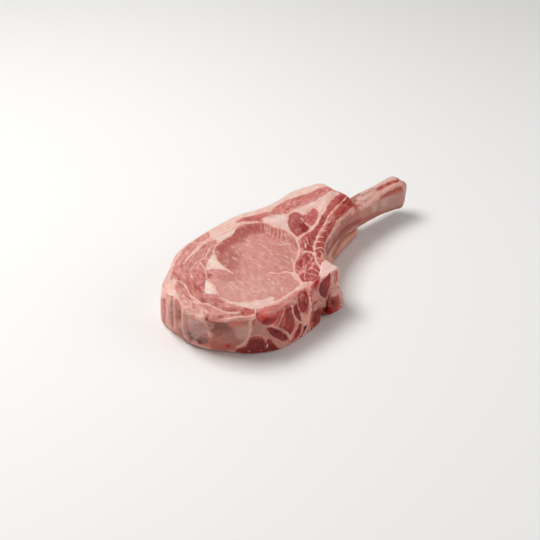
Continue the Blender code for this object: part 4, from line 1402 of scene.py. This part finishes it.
def finish_material(material, tree, **sockets):
    """Puts the surface at the end of the nodes."""
    surface = node(tree, "BsdfPrincipled", {k.replace("_", " "): v for k, v in sockets.items()})
    node(tree, "OutputMaterial", {"Surface": surface.outputs["BSDF"]})
    print(material.name, "has", len(tree.nodes), "nodes")
    return material


# %% [markdown]
# ## Raw veal
#
# Meat is translucent: light goes a few millimetres in and comes out redder, which a subsurface
# term gives. It is also moist, so its highlights are small and sharp, broken up by tiny bumps.
# The stored distance to the edge of the fat is moved by fine noise before it is cut, which gives
# the seams their ragged edges. Fine marbling comes from the middle of a stretched noise.

# %% Where fat and marbling lie
THREADS_PER_METRE = 150


def ragged_edge(tree, coarse, amount, low, high):
    """1 inside fat and 0 outside it: noise moves the stored distance by amount in mm."""
    shift = calc(tree, "ADD", coarse, -0.5)
    return ramp(tree, calc(tree, "MULTIPLY_ADD", shift, amount, stored(tree, "edge")), low, high)


def marbling(tree, place, fibres):
    """Threads of fat where a stretched noise crosses its middle, and soft dots of fat."""
    marble = stored(tree, "marble")
    threads = soft_noise(tree, fibres, THREADS_PER_METRE, distortion=0.5)
    thread = ramp(tree, off_middle(tree, threads), 0.055, 0.010)
    patches = ramp(tree, soft_noise(tree, place, 210), 0.50, 0.64)
    marbled = calc(tree, "MULTIPLY", calc(tree, "MULTIPLY", thread, patches), marble)
    dots = soft_noise(tree, fibres, 620, detail=1.0, roughness=0.4)
    dot = calc(tree, "MULTIPLY", ramp(tree, dots, 0.58, 0.74, to_high=0.6), marble)
    return calc(tree, "MULTIPLY_ADD", marbled, 0.55, dot)


print("threads of fat lie about", round(1 / (THREADS_PER_METRE * MM), 1), "mm apart")


# %% The colours of lean and fat
def lean_colour(tree, place, mottle):
    """Bundles of fibres and broad mottling from the stored lumps, with marbling over them."""
    paint = stored(tree, "lean", "Color")
    # Fibres run through the cut, and the streaks in the eye lie along y.
    fibres = node(tree, "Mapping", {"Vector": place, "Scale": (1, 0.36, 0.3)}).outputs["Vector"]
    cells = {"Vector": fibres, "Scale": 700, "Randomness": 1.0}
    bundles = node(tree, "TexVoronoi", cells, feature="SMOOTH_F1").outputs["Distance"]
    fine = soft_noise(tree, place, 430, detail=4.0, roughness=0.65)
    grain = calc(tree, "MULTIPLY_ADD", bundles, 0.06, 0.82)
    grain = calc(tree, "MULTIPLY_ADD", fine, 0.34, grain)
    even = toned(tree, paint, calc(tree, "MULTIPLY_ADD", mottle, 0.20, grain))
    high = ramp(tree, mottle, 0.12, 0.7, to_high=0.8)
    low = ramp(tree, mottle, -0.12, -0.7, to_high=0.75)
    paler = mix(tree, high, even, times(tree, paint, (1.20, 1.46, 1.46)))
    deeper = mix(tree, low, paler, times(tree, paint, (0.74, 0.56, 0.57)))
    return mix(tree, marbling(tree, place, fibres), deeper, rgba(MARBLE_FAT))


def fat_colour(tree, place, mottle):
    """Fat and membrane: pink patches below the surface, pale creases and fine red grains."""
    paint = stored(tree, "fat", "Color")
    pink = ramp(tree, soft_noise(tree, place, 120, detail=5.0, roughness=0.62), 0.42, 0.64)
    blushed = mix(tree, pink, paint, times(tree, paint, (0.97, 0.82, 0.80)))
    even = toned(tree, blushed, calc(tree, "MULTIPLY_ADD", mottle, 0.10, 1.0))
    creases = off_middle(tree, soft_noise(tree, place, 240, distortion=1.2))
    creased = toned(tree, even, ramp(tree, creases, 0.0, 0.06, 1.10, 0.99, kind="LINEAR"))
    specks = soft_noise(tree, place, 520, detail=3.0)
    speck = ramp(tree, specks, 0.55, 0.75, to_high=0.22, kind="LINEAR")
    return mix(tree, speck, creased, rgba(FAT_SPECK))


print("lean is marbled with", MARBLE_FAT, "and fat is specked with", FAT_SPECK)


# %% Raw veal: moist lean and fat
def make_meat():
    material, tree = new_material("raw veal, lean and fat")
    place = node(tree, "TexCoord").outputs["Object"]
    mottle = stored(tree, "mottle")
    wide = soft_noise(tree, place, 260, detail=4.0, roughness=0.65)
    fat_mask = ragged_edge(tree, wide, 1.6, -0.62, 0.52)
    lean_part, fat_part = lean_colour(tree, place, mottle), fat_colour(tree, place, mottle)
    grains = soft_noise(tree, place, 1300)
    ripple = soft_noise(tree, place, 330, detail=3.0)
    height = calc(tree, "MULTIPLY_ADD", grains, 0.4, ripple)
    height = calc(tree, "MULTIPLY_ADD", fat_mask, 0.4, height)
    strength = calc(tree, "MULTIPLY_ADD", fat_mask, -0.36, 0.6)
    bumps = {"Height": height, "Strength": strength, "Distance": 0.5 * MM}
    return finish_material(
        material,
        tree,
        Base_Color=mix(tree, fat_mask, lean_part, fat_part),
        Roughness=ramp(tree, ripple, 0.3, 0.7, 0.30, 0.48, kind="LINEAR"),
        Normal=node(tree, "Bump", bumps).outputs["Normal"],
        Specular_IOR_Level=0.22,
        Coat_Weight=ramp(tree, wide, 0.45, 0.65, to_high=0.28),
        Coat_Roughness=0.16,
        Subsurface_Weight=0.16,
        Subsurface_Scale=1.3 * MM,
        Subsurface_Radius=(1.0, 0.42, 0.25),
    )


meat.data.materials.append(make_meat())

# %% [markdown]
# ## Bone
#
# A rib is dense outside, and scraping leaves fine streaks along it. Where bone is sawn through,
# it shows a red sponge of small cells. One material serves both, with the streaks turned along
# each bone, and with deeper pores and more sponge on the sawn one.


# %% Bone: scraped outside and spongy inside
def hard_colour(tree, place, streaks, sponge):
    """The hard part: pale with reddish streaks, and red cells where it is sawn."""
    blotch = soft_noise(tree, place, 130, detail=3.0)
    tone = calc(tree, "MULTIPLY_ADD", streaks, 0.34, 0.70)
    tone = calc(tree, "MULTIPLY_ADD", blotch, 0.26, tone)
    reddish = ramp(tree, streaks, 0.52, 0.72, to_high=0.35, kind="LINEAR")
    plain = toned(tree, stored(tree, "fat", "Color"), tone)
    streaked = mix(tree, reddish, plain, rgba(BONE_STREAK))
    cells = soft_noise(tree, place, 640, roughness=0.6)
    cell = ramp(tree, cells, 0.46, 0.62, to_high=sponge)
    cell = calc(tree, "MULTIPLY", cell, stored(tree, "marble"))
    return mix(tree, cell, streaked, rgba(BONE_RED))


def make_bone(name, streak_turn, pore_depth, sponge):
    material, tree = new_material(name)
    place = node(tree, "TexCoord").outputs["Object"]
    turned = {"Vector": place, "Rotation": (0, 0, streak_turn), "Scale": (0.12, 1, 1)}
    along = node(tree, "Mapping", turned).outputs["Vector"]
    streaks = soft_noise(tree, along, 520, detail=4.0, roughness=0.6)
    pores = node(tree, "TexVoronoi", {"Vector": place, "Scale": 900, "Randomness": 1.0})
    pores = pores.outputs["Distance"]
    pore = ramp(tree, pores, 0.05, 0.55, 0.72, 1.25, kind="LINEAR")
    soft = toned(tree, stored(tree, "lean", "Color"), pore)
    hard_mask = ragged_edge(tree, soft_noise(tree, place, 500, detail=3.0), 0.8, -0.3, 0.3)
    height = calc(tree, "MULTIPLY_ADD", pores, pore_depth, streaks)
    bumps = {"Height": height, "Strength": 0.5, "Distance": 0.35 * MM}
    return finish_material(
        material,
        tree,
        Base_Color=mix(tree, hard_mask, soft, hard_colour(tree, place, streaks, sponge)),
        Roughness=0.42,
        Normal=node(tree, "Bump", bumps).outputs["Normal"],
        Specular_IOR_Level=0.14,
        Subsurface_Weight=0.1,
        Subsurface_Scale=1.0 * MM,
        Subsurface_Radius=(1.0, 0.5, 0.3),
    )


rib.data.materials.append(make_bone("scraped rib bone", math.radians(-12), 0.2, 0.12))
chine.data.materials.append(make_bone("sawn backbone with marrow", math.radians(60), 0.8, 0.45))

# %% [markdown]
# ## Floor, light and camera
#
# A plain pale floor and a pale sky give even light from all round. One large soft lamp stands
# high behind the chop, so that the cut face is brighter than the walls, and a weaker one lights
# the walls from the front right. The camera stands at the eye point from which all was painted.

# %% The floor and the sky
FLOOR_HALF = 3.0
SKY_STRENGTH = 0.28
floor_mesh = bpy.data.meshes.new("floor")
bm = bmesh.new()
bmesh.ops.create_grid(bm, x_segments=1, y_segments=1, size=FLOOR_HALF)
bm.to_mesh(floor_mesh)
bm.free()
floor = bpy.data.objects.new("floor", floor_mesh)
bpy.context.scene.collection.objects.link(floor)
paper, tree = new_material("pale matt paper")
paper_surface = node(tree, "BsdfPrincipled", {"Base Color": rgba("efeeec"), "Roughness": 0.8})
node(tree, "OutputMaterial", {"Surface": paper_surface.outputs["BSDF"]})
floor_mesh.materials.append(paper)

world = bpy.data.worlds.new("pale sky")
world.use_nodes = True
sky = world.node_tree.nodes["Background"]
sky.inputs["Color"].default_value = (1.0, 0.99, 0.98, 1)
sky.inputs["Strength"].default_value = SKY_STRENGTH
bpy.context.scene.world = world
print("the floor is", 2 * FLOOR_HALF, "m wide")


# %% The lamps
def soft_lamp(name, place, power, size):
    light = bpy.data.lights.new(name, "AREA")
    light.energy = power
    light.size = size
    lamp = bpy.data.objects.new(name, light)
    lamp.location = place
    lamp.rotation_euler = (-Vector(place)).to_track_quat("-Z", "Y").to_euler()
    bpy.context.scene.collection.objects.link(lamp)
    print(name, "gives", power, "W from", place)


soft_lamp("key above and behind", (-0.22, 0.45, 0.95), 9.0, 0.42)
soft_lamp("fill from the front right", (0.45, -0.80, 0.50), 3.0, 0.8)

# %% The camera
camera_data = bpy.data.cameras.new("camera")
camera_data.lens = LENS_MM
camera_data.sensor_width = FILM_MM
camera = bpy.data.objects.new("camera", camera_data)
camera.location = eye_point
camera.rotation_euler = forward.to_track_quat("-Z", "Y").to_euler()
bpy.context.scene.collection.objects.link(camera)
bpy.context.scene.camera = camera
bpy.context.scene.view_settings.view_transform = "Standard"
print("the camera has a lens of", LENS_MM, "mm")
